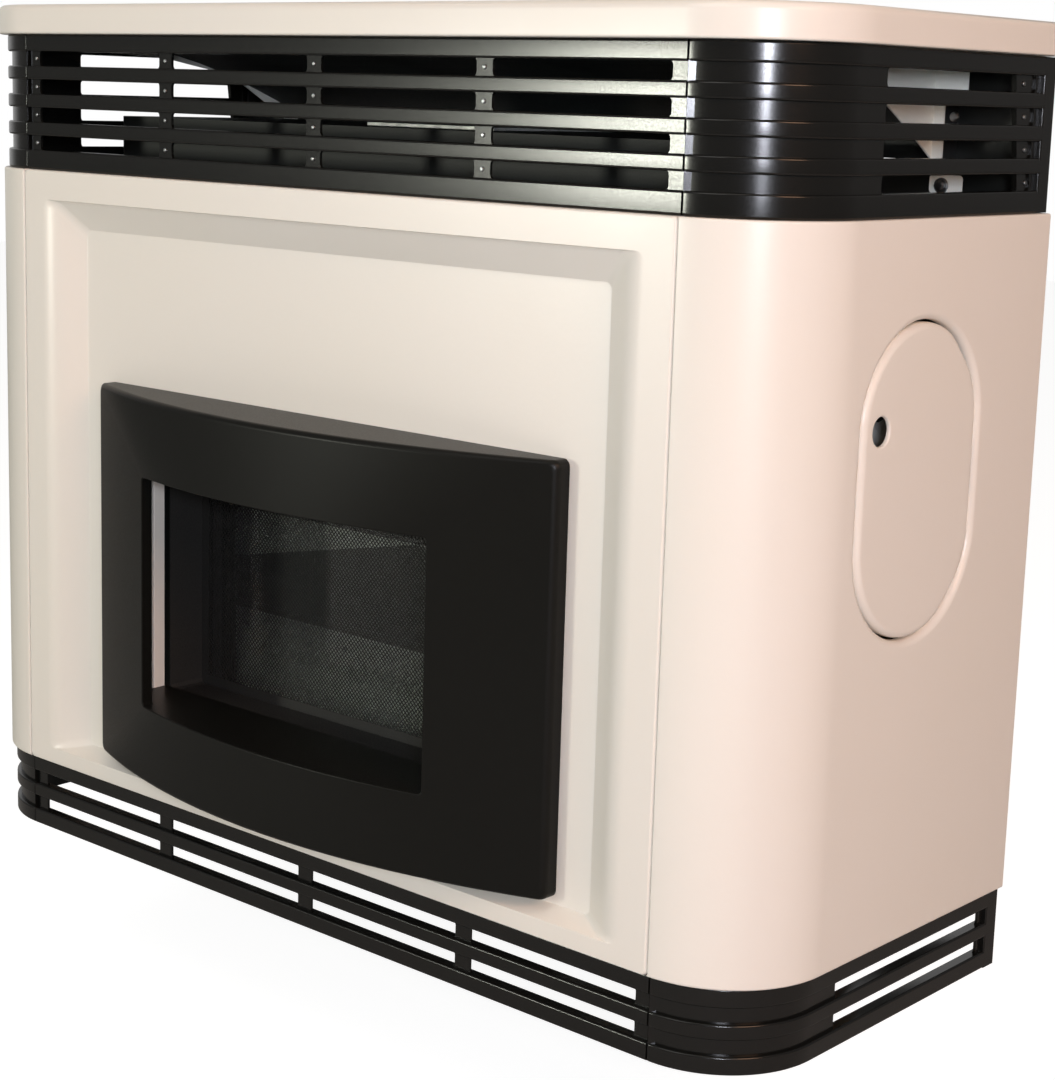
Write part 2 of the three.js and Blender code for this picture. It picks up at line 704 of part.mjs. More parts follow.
{
  const t = SHEET;
  const low = HINGE_X - HINGE_IN - DOOR_GAP;
  const out = DOOR_Y + DOOR_W / 2 + DOOR_GAP + SHEET + DOOR_EDGE_R + 2;
  const face = HALF - SHEET - GAP;
  const eye = arc(HINGE_X, HINGE_Y, EYE_R, 0, 2 * Math.PI * 13 / 14, 13);
  const outline = [
    [HINGE_X - 1, HINGE_Y - t],
    [low - t, HINGE_Y - t],
    [low - t, out],
    [face - t, out],
    [face - t, out + 14],
    [face, out + 14],
    [face, out - t],
    [low, out - t],
    [low, HINGE_Y],
    [HINGE_X - 1, HINGE_Y],
  ];
  const strap = extrudeZ(outline, DOOR_Z - EYE_H / 2, DOOR_Z + EYE_H / 2);
  const barrel = extrudeZ(eye, DOOR_Z - EYE_H / 2, DOOR_Z + EYE_H / 2);
  const bore = rodZ(PIN_R + PIN_CLEAR / 3, DOOR_Z - EYE_H, DOOR_Z + EYE_H, HINGE_X, HINGE_Y, 12);
  place('door_hinge_bracket', cut(join(strap, barrel), bore), steel);
}

// Sprung catch that the door's front rim rides over
{
  const front = DOOR_Y - DOOR_W / 2;
  const face = HALF - SHEET - GAP;
  const foot = front - DOOR_GAP - SHEET - DOOR_EDGE_R - 1;
  const low = HALF - DOOR_RIM - 1;
  const outline = [
    [face, foot - CATCH_FOOT],
    [face, foot],
    [low, foot],
    [low, front + 8],
    [low - SHEET, front + 8],
    [low - SHEET, foot - SHEET],
    [face - SHEET, foot - SHEET],
    [face - SHEET, foot - CATCH_FOOT],
  ];
  place('door_catch', extrudeZ(outline, DOOR_Z - 9, DOOR_Z + 9), steel);
}

// ---- grilles: continuous slats on a web with slots; the corners carry the slats round unslotted ----
function slatLevels(height, rows, firstRow) {
  const cuts = [];
  for (let i = 0; i < rows; i++) {
    const centre = firstRow + i * SLAT_PITCH;
    cuts.push([centre - SLOT_H / 2, centre + SLOT_H / 2]);
  }
  const slats = [];
  let from = GAP;
  for (const [a, b] of cuts) {
    slats.push([from, a]);
    from = b;
  }
  slats.push([from, height - GAP]);
  return { cuts, slats };
}

function slatSection(z0, z1) {
  const y0 = -(CASE_D - GRILLE_INSET);
  const y1 = y0 + SLAT_D;
  const r = SLAT_R;
  return [[y1, z0], [y1, z1], [y0 + r, z1], [y0, z1 - r], [y0, z0 + r], [y0 + r, z0]];
}

function frontGrille(z0, height, rows, firstRow) {
  const { cuts, slats } = slatLevels(height, rows, firstRow);
  const webFront = -(CASE_D - GRILLE_INSET - WEB_INSET);
  const first = SEAM_X - SLOT_END_MARGIN;
  const column = (2 * first - (SLOT_COLUMNS - 1) * MULLION_W) / SLOT_COLUMNS;
  const holes = [];
  for (const [a, b] of cuts) {
    for (let c = 0; c < SLOT_COLUMNS; c++) {
      const x0 = -first + c * (column + MULLION_W);
      holes.push(roundedRect(x0, x0 + column, z0 + a - LAP, z0 + b + LAP, SLOT_CORNER_R, 1));
    }
  }
  const [low, high] = [z0 + GAP + LAP, z0 + height - GAP - LAP];
  const half = FRONT_HALF - 2 * LAP;
  const outline = [[-half, low], [half, low], [half, high], [-half, high]];
  const web = extrudeY(outline, webFront, webFront + WEB_T, holes);
  const pieces = slats.map(([a, b]) => extrudeX(slatSection(z0 + a, z0 + b), -FRONT_HALF, FRONT_HALF));
  const ends = [-1, 1].map((s) => box(
    s * (FRONT_HALF - LAP - WEB_T), s * (FRONT_HALF - LAP), webFront + WEB_T / 2, webFront + SLAT_D, low + LAP, high - LAP,
  ));
  return join(web, ...pieces, ...ends);
}

// Slat bent round the corner, its face edges chamfered
function bentSlat(z0, z1) {
  const r = SLAT_R;
  const line = (inset, z) => cornerLine(GRILLE_INSET + inset).map(([x, y]) => [x, y, z]);
  const section = [[SLAT_D, z0], [SLAT_D, z1], [r, z1], [0, z1 - r], [0, z0 + r], [r, z0]];
  const lines = section.map(([inset, z]) => line(inset, z));
  const rings = lines[0].map((_, i) => lines.map((l) => l[i]));
  return loft(rings, false);
}

function cornerGrille(z0, height, rows, firstRow) {
  const { cuts, slats } = slatLevels(height, rows, firstRow);
  const webInset = GRILLE_INSET + WEB_INSET;
  const [low, high] = [z0 + GAP + LAP, z0 + height - GAP - LAP];
  let web = extrudeZ(cornerStrip(webInset, WEB_T, 2 * LAP), low, high);
  const slots = cuts.map(([a, b]) => extrudeX(
    roundedRect(-(CASE_D - SIDE_SLOT_FRONT), -SIDE_SLOT_REAR, z0 + a - LAP, z0 + b + LAP, SLOT_CORNER_R, 1),
    HALF - webInset - 3 * WEB_T, HALF - webInset + 1,
  ));
  web = cut(web, ...slots);
  const rear = box(
    HALF - UPRIGHT_OUT + GAP, HALF - webInset - WEB_T / 2,
    -WALL_GAP - LAP - WEB_T, -WALL_GAP - LAP, low + LAP, high - LAP,
  );
  const seamY = -(CASE_D - webInset) + WEB_T / 2;
  const seamX = SIDE_START + LAP;
  const seam = box(seamX, seamX + WEB_T, seamY, seamY + SLAT_D, low + LAP, high - LAP);
  return join(web, ...slats.map(([a, b]) => bentSlat(z0 + a, z0 + b)), rear, seam);
}

place('upper_grille_front', frontGrille(PANEL_Z1, UPPER_H, UPPER_ROWS, UPPER_FIRST_ROW), grilleBlack);
place('lower_grille_front', frontGrille(0, LOWER_H, LOWER_ROWS, LOWER_FIRST_ROW), grilleBlack);
{
  const upper = cornerGrille(PANEL_Z1, UPPER_H, UPPER_ROWS, UPPER_FIRST_ROW);
  const lower = cornerGrille(0, LOWER_H, LOWER_ROWS, LOWER_FIRST_ROW);
  place('upper_grille_right', upper, grilleBlack);
  place('upper_grille_left', mirrored(upper), grilleBlack);
  place('lower_grille_right', lower, grilleBlack);
  place('lower_grille_left', mirrored(lower), grilleBlack);
}

// ---- window bezel: a shallow hood bowed in plan, seated on the recess floor ----
{
  const half = BEZEL_W / 2;
  const radius = (half * half + BEZEL_BOW * BEZEL_BOW) / (2 * BEZEL_BOW);
  const frontY = (x) => FLOOR_Y - BEZEL_RIM - BEZEL_BOW + radius - Math.sqrt(radius * radius - x * x);
  const outline = (grow, r, across = 7) => roundedRect(
    -half - grow, half + grow, BEZEL_Z - BEZEL_H / 2 - grow, BEZEL_Z + BEZEL_H / 2 + grow, r, 2, across,
  );
  const view = (grow, r, across = 7) => roundedRect(
    -VIEW_W / 2 - grow, VIEW_W / 2 + grow, BEZEL_Z - VIEW_H / 2 - grow, BEZEL_Z + VIEW_H / 2 + grow, r, 2, across,
  );
  const onFace = (points, depth) => points.map(([x, z]) => [x, frontY(x) + depth, z]);
  const seat = (points) => points.map(([x, z]) => [x, FLOOR_Y - GAP, z]);
  const between = (a, b, t) => a.map(([x, z], i) => [x + (b[i][0] - x) * t, z + (b[i][1] - z) * t]);
  const [face, hole] = [outline(-BEZEL_R, BEZEL_CORNER_R), view(1, 3)];
  const [faceIn, holeIn] = [outline(-BEZEL_R, BEZEL_CORNER_R), view(BEZEL_T, 4)];
  const rings = [
    seat(outline(0, BEZEL_CORNER_R)),
    onFace(outline(0, BEZEL_CORNER_R), BEZEL_R),
    onFace(outline(-0.3 * BEZEL_R, BEZEL_CORNER_R), 0.3 * BEZEL_R),
    onFace(face, 0),
    onFace(between(face, hole, 0.5), 0),
    onFace(hole, 0),
    onFace(view(0, 3), 1),
    onFace(view(0, 3), VIEW_LIP),
    onFace(view(BEZEL_T, 4), VIEW_LIP),
    onFace(holeIn, BEZEL_T),
    onFace(between(faceIn, holeIn, 0.5), BEZEL_T),
    onFace(faceIn, BEZEL_T),
    onFace(outline(-BEZEL_T, BEZEL_CORNER_R - 1), BEZEL_R),
    seat(outline(-BEZEL_T, BEZEL_CORNER_R - 1)),
  ];
  const frame = loft(rings, true);
  const reach = VIEW_W / 2 - LEDGE_IN;
  const plan = [[reach, FLOOR_Y - GAP], [-reach, FLOOR_Y - GAP]];
  for (let i = 0; i <= 8; i++) {
    const x = -reach + 2 * reach * i / 8;
    plan.push([x, frontY(x) + BEZEL_T]);
  }
  const ledgeAt = (edge, side) => {
    const z = edge + side * BEZEL_T / 2;
    return extrudeZ(plan, z - LEDGE_T / 2, z + LEDGE_T / 2);
  };
  const ledges = [
    ledgeAt(BEZEL_Z - VIEW_H / 2, -1),
    ledgeAt(BEZEL_Z + VIEW_H / 2, 1),
  ];
  place('window_bezel', join(frame, ...ledges), bezelBlack);
}

// ---- window stack: exchanger port, gasket, glass, clamp, mesh, duct ----
const GASKET_Y = -EX_FRONT - GAP;
const GLASS_Y = GASKET_Y - GASKET_T - GAP;
const CLAMP_Y = GLASS_Y - GLASS_T - GAP;
const MESH_Y = CLAMP_Y - CLAMP_T - GAP;
const DUCT_Y = MESH_Y - MESH_T - GAP;
const PORT_Z = PORT_BOTTOM + PORT_H / 2;
const DUCT_Z = (DUCT_BOTTOM + DUCT_TOP) / 2;

function frameRing(width, height, centreZ, grow, r, y) {
  return roundedRect(
    -width / 2 - grow, width / 2 + grow, centreZ - height / 2 - grow, centreZ + height / 2 + grow, r, 2,
  ).map(([x, z]) => [x, y, z]);
}

{
  const ring = (grow, y) => frameRing(PORT_W, PORT_H, PORT_Z, grow, PORT_R, y);
  const c = GASKET_T * 0.3;
  const near = GASKET_IN;
  const far = GASKET_IN + GASKET_W;
  place('glass_gasket', loft([
    ring(near, GASKET_Y - c), ring(near + c, GASKET_Y), ring(far - c, GASKET_Y), ring(far, GASKET_Y - c),
    ring(far, GASKET_Y - GASKET_T + c), ring(far - c, GASKET_Y - GASKET_T),
    ring(near + c, GASKET_Y - GASKET_T), ring(near, GASKET_Y - GASKET_T + c),
  ], true), ropeGrey);

  const pane = roundedRect(
    -PORT_W / 2 - GLASS_OVER, PORT_W / 2 + GLASS_OVER,
    PORT_BOTTOM - GLASS_OVER, PORT_BOTTOM + PORT_H + GLASS_OVER, PORT_R, 2,
  );
  place('window_glass', extrudeY(pane, GLASS_Y - GLASS_T, GLASS_Y), clearGlass);

  const lip = GLASS_OVER - CLAMP_LIP;
  const wall = GLASS_OVER + GAP;
  place('glass_clamp_frame', loft([
    ring(lip, CLAMP_Y), ring(wall, CLAMP_Y), ring(wall, -EX_FRONT - GAP),
    ring(CLAMP_FLANGE + wall, -EX_FRONT - GAP), ring(CLAMP_FLANGE + wall, -EX_FRONT - GAP - CLAMP_T),
    ring(wall + CLAMP_T, -EX_FRONT - GAP - CLAMP_T), ring(wall + CLAMP_T, CLAMP_Y - CLAMP_T),
    ring(lip, CLAMP_Y - CLAMP_T),
  ], true), heatBlack);
}

// Mesh screen: diamond gaps between crossing bars, with a plain border
{
  const height = DUCT_TOP - DUCT_BOTTOM;
  const border = DUCT_FLANGE;
  const outline = roundedRect(
    -DUCT_W / 2 - border, DUCT_W / 2 + border, DUCT_BOTTOM - border, DUCT_TOP + border, 3, 1,
  );
  const [px, pz] = [DUCT_W / MESH_COLS, height / MESH_ROWS];
  const holes = [];
  for (let i = 0; i < MESH_COLS; i++) {
    for (let k = 0; k < MESH_ROWS; k++) {
      const x = -DUCT_W / 2 + (i + 0.5) * px;
      const z = DUCT_BOTTOM + (k + 0.5) * pz;
      const [a, b] = [px / 2 - MESH_BAR, pz / 2 - MESH_BAR];
      holes.push([[x + a, z], [x, z + b], [x - a, z], [x, z - b]]);
    }
  }
  place('mesh_screen', extrudeY(outline, MESH_Y - MESH_T, MESH_Y, holes), heatBlack);
}

{
  const front = FLOOR_Y + CUTOUT_FOLD + DUCT_CLEAR;
  const ring = (grow, y) => frameRing(DUCT_W, DUCT_TOP - DUCT_BOTTOM, DUCT_Z, grow, 4, y);
  place('window_duct', loft([
    ring(0, DUCT_Y), ring(DUCT_FLANGE, DUCT_Y), ring(DUCT_FLANGE, DUCT_Y - DUCT_T),
    ring(DUCT_T, DUCT_Y - DUCT_T), ring(DUCT_T, front), ring(0, front),
  ], true), heatBlack);
}

// ---- heat exchanger: welded box, port in front, burner entry on the right, flue and air behind ----
// Pilot pipe, thermocouple and ignition lead pass through the right wall over the burner
const INJECTOR_HOLES = [
  { y: BURNER_Y - PILOT_FRONT, z: BURNER_Z + PILOT_UP, r: 2 },
  { y: BURNER_Y - PILOT_FRONT + PILOT_PITCH, z: BURNER_Z + PILOT_UP + 8, r: 1.2 },
  { y: BURNER_Y - PILOT_FRONT - PILOT_PITCH, z: BURNER_Z + PILOT_UP + 8, r: 1.5 },
];

{
  const plan = (grow) => roundedRect(
    -EX_LEFT - grow, EX_RIGHT + grow, -EX_FRONT - grow, -EX_BACK + grow, EX_R + grow, 2,
  );
  const shell = extrudeZ(plan(0), EX_BOTTOM, EX_TOP);
  const cavity = extrudeZ(plan(-EX_T), EX_BOTTOM + EX_T, EX_TOP - EX_T);
  const port = extrudeY(
    roundedRect(-PORT_W / 2, PORT_W / 2, PORT_BOTTOM, PORT_BOTTOM + PORT_H, PORT_R, 2),
    -EX_FRONT - 5, -EX_FRONT + 2 * EX_T,
  );
  const flue = rodY(FLUE_R + GAP, -EX_BACK - 3 * EX_T, -EX_BACK + 5, FLUE_X, FLUE_Z);
  const air = box(-CHANNEL_W / 2 + 20, CHANNEL_W / 2 - 20, -EX_BACK - 3 * EX_T, -EX_BACK + 5,
    CHANNEL_BOTTOM + 10, CHANNEL_BOTTOM + 40);
  const burner = rodX(BURNER_R + GAP, EX_RIGHT - 3 * EX_T, EX_RIGHT + 5, BURNER_Y, BURNER_Z, 16);
  const small = INJECTOR_HOLES.map(({ y, z, r }) => rodX(r + 0.5, EX_RIGHT - 3 * EX_T, EX_RIGHT + 5, y, z, 8));
  place('heat_exchanger', cut(shell, cavity, port, flue, air, burner, ...small), enamelGrey);
}

// Folded guard in front of the burner, its top sloping back
{
  const y0 = -EX_FRONT + EX_R + GUARD_CLEAR;
  const y1 = y0 + GUARD_RUN;
  const z0 = EX_BOTTOM + EX_T + GAP;
  const t = GUARD_T;
  const section = [
    [y1, z0], [y1, z0 + t], [y0 + t, z0 + t], [y0 + t, GUARD_TOP - 0.4 * t], [y1 + t, GUARD_PEAK - 0.4 * t],
    [y1 + t, GUARD_PEAK - 12], [y1 + 2 * t, GUARD_PEAK - 12], [y1 + 2 * t, GUARD_PEAK + t],
    [y0, GUARD_TOP], [y0, z0],
  ];
  const guard = extrudeX(section, -EX_LEFT + EX_T + GAP, EX_RIGHT - EX_T - GAP);
  place('burner_guard', guard, enamelGrey);
}

// Burner tube: closed at the left, open at the right, with a row of ports along its top
{
  const x0 = -EX_LEFT + EX_T + GAP;
  const x1 = EX_RIGHT + BURNER_OUT;
  const tube = turnX([
    [0, x0], [BURNER_R, x0], [BURNER_R, x1], [BURNER_R - BURNER_T, x1],
    [BURNER_R - BURNER_T, x0 + 2 * BURNER_T], [0, x0 + 2 * BURNER_T],
  ], BURNER_Y, BURNER_Z, 16);
  const ports = [];
  const reach = EX_RIGHT - 30 - (x0 + 30);
  for (let i = 0; i < BURNER_PORTS; i++) {
    const x = x0 + 30 + reach * (i + 0.5) / BURNER_PORTS;
    ports.push(box(x - 1.5, x + 1.5, BURNER_Y - 8, BURNER_Y + 8, BURNER_Z + BURNER_R / 2, BURNER_Z + BURNER_R + 2));
  }
  place('burner_tube', cut(tube, ...ports), enamelGrey);

  const x2 = x1 + GAP;
  place('injector_holder', turnX([
    [0, x2], [BURNER_R, x2], [BURNER_R, x2 + 4], [9, x2 + 6], [9, x2 + 22], [0, x2 + 22],
  ], BURNER_Y, BURNER_Z, 12), brassy);
}

// Baffle under the chamber roof; its lower edge slopes up to the right
{
  const x0 = -EX_LEFT + EX_T + GAP;
  const x1 = EX_RIGHT - EX_T - GAP;
  const low = PORT_BOTTOM + PORT_H * 0.68;
  const high = PORT_BOTTOM + PORT_H * 0.95;
  const top = EX_TOP - EX_T - GAP;
  const outline = [[x0, low], [-PORT_W / 2 - 20, low], [PORT_W * 0.05, high], [x1, high], [x1, top], [x0, top]];
  const y = -EX_FRONT + EX_R + GUARD_CLEAR + BAFFLE_BACK;
  place('flue_baffle', extrudeY(outline, y, y + BAFFLE_T), enamelGrey);
}

// ---- flue, air duct and channel behind the exchanger ----
{
  place('flue_spigot', turnY([
    [FLUE_R, -EX_BACK - 4 * EX_T], [FLUE_R, -EX_BACK + GAP], [FLUE_R + 12, -EX_BACK + GAP],
    [FLUE_R + 12, -EX_BACK + GAP + FLUE_T], [FLUE_R, -EX_BACK + GAP + FLUE_T], [FLUE_R, -PIPE_END],
    [FLUE_R - FLUE_T, -PIPE_END], [FLUE_R - FLUE_T, -EX_BACK - 4 * EX_T],
    [FLUE_R, -EX_BACK - 4 * EX_T],
  ], FLUE_X, FLUE_Z), heatBlack);

  const flangeY = -CHANNEL_BACK + GAP;
  place('air_duct', turnY([
    [AIR_R - AIR_T, -CHANNEL_BACK - 6], [AIR_R, -CHANNEL_BACK - 6], [AIR_R, flangeY],
    [AIR_R + 12, flangeY], [AIR_R + 12, flangeY + AIR_T], [AIR_R, flangeY + AIR_T], [AIR_R, -PIPE_END],
    [AIR_R - AIR_T, -PIPE_END], [AIR_R - AIR_T, -CHANNEL_BACK - 6],
  ], FLUE_X, FLUE_Z), galvanised);

  const tray = (grow, y) => roundedRect(
    FLUE_X - CHANNEL_W / 2 - grow, FLUE_X + CHANNEL_W / 2 + grow,
    CHANNEL_BOTTOM - grow, CHANNEL_TOP + grow, 6, 2,
  ).map(([x, z]) => [x, y, z]);
  const open = -EX_BACK + GAP;
  const shell = loft([
    tray(-CHANNEL_T, -CHANNEL_BACK - CHANNEL_T), tray(-CHANNEL_T, open), tray(0, open), tray(0, -CHANNEL_BACK),
  ], false);
  const hole = rodY(AIR_R + GAP, -CHANNEL_BACK - 8, -CHANNEL_BACK + 8, FLUE_X, FLUE_Z);
  place('air_channel', cut(shell, hole), galvanised);
}

// ---- wall frame ----
const UPRIGHT_BACK = -(RAIL_T + GAP);
const UPRIGHT_FRONT = UPRIGHT_BACK - UPRIGHT_D;

function wallRail(centreZ, lipSide) {
  const half = UPRIGHT_X1 - 4;
  const holes = [-1, 1].flatMap((s) => [0.33, 0.72].map((f) => {
    const x = s * f * half;
    return arc(x, centreZ, 4, 0, 2 * Math.PI * 7 / 8, 7);
  }));
  const outline = [
    [-half, centreZ - RAIL_H / 2], [half, centreZ - RAIL_H / 2],
    [half, centreZ + RAIL_H / 2], [-half, centreZ + RAIL_H / 2],
  ];
  const bar = extrudeY(outline, -RAIL_T, 0, holes);
  const edge = centreZ + lipSide * RAIL_H / 2;
  const lip = box(
    -UPRIGHT_X0 + 6, UPRIGHT_X0 - 6, -RAIL_LIP, -RAIL_T / 2, edge, edge - lipSide * RAIL_T,
  );
  return join(bar, lip);
}

place('hanging_rail', wallRail(RAIL_Z, 1), galvanised);
place('lower_rail', wallRail(LOWER_RAIL_Z, -1), galvanised);

{
  const t = UPRIGHT_T;
  const outline = [
    [UPRIGHT_X0, UPRIGHT_BACK], [UPRIGHT_X0, UPRIGHT_FRONT], [UPRIGHT_X0 + t, UPRIGHT_FRONT],
    [UPRIGHT_X0 + t, UPRIGHT_BACK - t], [UPRIGHT_X1 - t, UPRIGHT_BACK - t],
    [UPRIGHT_X1 - t, UPRIGHT_FRONT], [UPRIGHT_X1, UPRIGHT_FRONT], [UPRIGHT_X1, UPRIGHT_BACK],
  ];
  const upright = extrudeZ(outline, UPRIGHT_BOTTOM, LID_Z0 - GAP);
  place('upright_right', outward(upright), galvanised);
  place('upright_left', mirrored(outward(upright)), galvanised);
}

{
  const half = UPRIGHT_X0 - GAP;
  const outline = [[-half, SHIELD_BOTTOM], [half, SHIELD_BOTTOM], [half, SHIELD_TOP], [-half, SHIELD_TOP]];
  const sheet = extrudeY(outline, -SHIELD_Y, -SHIELD_Y + SHIELD_T);
  const hole = rodY(AIR_R + GAP, -SHIELD_Y - 5, -SHIELD_Y + 8, FLUE_X, FLUE_Z);
  place('heat_shield', cut(sheet, hole), galvanised);
}

// Feet that carry the exchanger from the lower rail, each with a folded web
{
  const t = 2;
  const under = EX_BOTTOM - GAP;
  const y0 = -EX_FRONT + 20;
  const y1 = -(RAIL_T + GAP);
  const section = [
    [y1, under], [y0, under], [y0, under - t], [-40, under - t - 20], [y1, LOWER_RAIL_Z - RAIL_H / 2 + 6],
  ];
  const bend = (x) => join(
    extrudeX(section, x, x + t),
    extrudeX([[y1, under - t], [y0, under - t], [y0, under], [y1, under]], x - 12, x + 14),
    extrudeX([[y1, under], [y1 - t, under], [y1 - t, LOWER_RAIL_Z - RAIL_H / 2 + 6],
      [y1, LOWER_RAIL_Z - RAIL_H / 2 + 6]], x - 12, x + 14),
  );
  place('exchanger_foot_left', bend(-EX_LEFT + FOOT_IN), galvanised);
  place('exchanger_foot_right', bend(EX_RIGHT - FOOT_IN), galvanised);
}

// Hanger from the exchanger's roof to the hanging rail
{
  const t = 2;
  const z0 = EX_TOP + GAP;
  const y1 = -(RAIL_T + GAP);
  const section = [
    [-EX_FRONT + 40, z0], [y1, z0], [y1, RAIL_Z + 15], [y1 - t, RAIL_Z + 15], [y1 - t, z0 + t],
    [-EX_FRONT + 40, z0 + t],
  ];
  place('exchanger_hanger', outward(extrudeX(section, -60, 60)), galvanised);
}

// ---- air deflector under the lid, with an end plate on each side ----
function deflectorLine(offset) {
  const points = [];
  for (let i = 0; i <= 9; i++) {
    const t = i / 9;
    const y = -DEFLECTOR_Y0 - (DEFLECTOR_Y1 - DEFLECTOR_Y0) * t;
    const z = DEFLECTOR_Z0 + (DEFLECTOR_Z1 - DEFLECTOR_Z0) * Math.sin(Math.PI / 2 * t);
    points.push([y, z + offset]);
  }
  return points;
}

{
  const half = DEFLECTOR_HALF - GAP;
  const section = [...deflectorLine(0), ...deflectorLine(DEFLECTOR_T).reverse()];
  place('air_deflector', extrudeX(section, -half, half), galvanised);

  const foot = UPRIGHT_FRONT - GAP;
  const t = DEFLECTOR_T;
  const top = LID_Z0 - 3;
  const plate = [
    [foot, SHIELD_TOP + 4], [foot, top], [-DEFLECTOR_Y1, top], [-CASE_D + 50, top - 22],
    [-CASE_D + 72, SHIELD_TOP + 22], [-CASE_D + 150, SHIELD_TOP + 4],
  ];
  const end = join(
    extrudeX(plate, DEFLECTOR_HALF, DEFLECTOR_HALF + t),
    box(DEFLECTOR_HALF, UPRIGHT_X0 + 20, foot, foot - t, SHIELD_TOP + 4, top),
  );
  place('deflector_end_right', end, galvanised);
  place('deflector_end_left', mirrored(end), galvanised);
}

// ---- controls behind the door ----
const plateBack = PLATE_X - PLATE_T;
const foot = UPRIGHT_FRONT - GAP;

{
  const outline = roundedRect(PLATE_Y0, PLATE_Y1, PLATE_Z0, PLATE_Z1, 8, 2);
  const plate = extrudeX(outline, plateBack, PLATE_X);
  const leg = box(plateBack, PLATE_X, PLATE_Y1 - 12, foot, PLATE_Z0 + 20, PLATE_Z1 - 20);
  const base = box(UPRIGHT_X0, PLATE_X, foot - PLATE_T, foot, PLATE_Z0 + 20, PLATE_Z1 - 20);
  const spindleHole = rodX(SPINDLE_R + 2, plateBack - 5, PLATE_X + 5, KNOB_Y, KNOB_Z, 12);
  const piezoHole = rodX(PIEZO_R + GAP, plateBack - 5, PLATE_X + 5, PIEZO_Y, PIEZO_Z, 14);
  place('control_bracket', cut(join(plate, leg, base), spindleHole, piezoHole), galvanised);
}

const VALVE_X1 = plateBack - GAP;
const VALVE_X0 = VALVE_X1 - 51;
const SPINDLE_BORE = 10;
const INLET = { x: VALVE_X0 + 26, z: KNOB_Z - 42 };
const OUTLET = { y: KNOB_Y - 8, z: KNOB_Z - 7 };

{
  const body = extrudeX(
    roundedRect(KNOB_Y - 30, KNOB_Y + 30, KNOB_Z - 28, KNOB_Z + 26, 7, 2), VALVE_X0, VALVE_X1 - 8,
  );
  const neck = rodX(22, VALVE_X1 - 10, VALVE_X1, KNOB_Y, KNOB_Z, 18);
  const inlet = rodZ(12, INLET.z, KNOB_Z - 20, INLET.x, KNOB_Y, 10);
  const outlet = rodX(11, VALVE_X0 - 12, VALVE_X0 + 6, OUTLET.y, OUTLET.z, 10);
  const cover = rodX(16, VALVE_X0 - 7, VALVE_X0 + 6, KNOB_Y + 12, KNOB_Z + 8, 14);
  const bore = rodX(SPINDLE_R + SPINDLE_CLEAR, VALVE_X1 - SPINDLE_BORE, VALVE_X1 + 5, KNOB_Y, KNOB_Z, 12);
  place('gas_valve', cut(join(body, neck, inlet, outlet, cover), bore), castAlloy);
}

const spindleGroup = new THREE.Group();
heater.add(spindleGroup);
const knobGroup = new THREE.Group();
spindleGroup.add(knobGroup);
const KNOB_X0 = PLATE_X + KNOB_PRESS + 1.3;
const KNOB_BORE = KNOB_L - 3;
const SPINDLE_END = KNOB_X0 + KNOB_BORE - KNOB_PRESS - 1;

place('valve_spindle', rodX(SPINDLE_R, VALVE_X1 - SPINDLE_BORE + 1, SPINDLE_END, KNOB_Y, KNOB_Z, 12), brassy, spindleGroup);

{
  const outline = [];
  for (let i = 0; i < KNOB_GRIPS; i++) {
    const a = 2 * Math.PI * i / KNOB_GRIPS;
    const w = 2 * Math.PI / KNOB_GRIPS;
    outline.push([KNOB_R * Math.cos(a), KNOB_R * Math.sin(a)]);
    outline.push([KNOB_R * Math.cos(a + 0.45 * w), KNOB_R * Math.sin(a + 0.45 * w)]);
    outline.push([(KNOB_R - 1.2) * Math.cos(a + 0.72 * w), (KNOB_R - 1.2) * Math.sin(a + 0.72 * w)]);
  }
  const at = (scale, x) => outline.map(([u, v]) => [x, KNOB_Y + u * scale, KNOB_Z + v * scale]);
  const grip = loft([at(1, KNOB_X0), at(1, KNOB_X0 + KNOB_L - 2), at(0.94, KNOB_X0 + KNOB_L)], false);
  const bore = rodX(SPINDLE_R + SPINDLE_CLEAR, KNOB_X0 - 5, KNOB_X0 + KNOB_BORE, KNOB_Y, KNOB_Z, 12);
  const mark = box(KNOB_X0 + KNOB_L - 0.8, KNOB_X0 + KNOB_L + 1, KNOB_Y - 1, KNOB_Y + 1, KNOB_Z + 8, KNOB_Z + KNOB_R - 3);
  place('control_knob', cut(grip, bore, mark), knobBlack, knobGroup);
}

// Piezo igniter through the plate, held by a nut behind it
const COLLAR_X = PLATE_X + GAP;
const buttonGroup = new THREE.Group();
heater.add(buttonGroup);

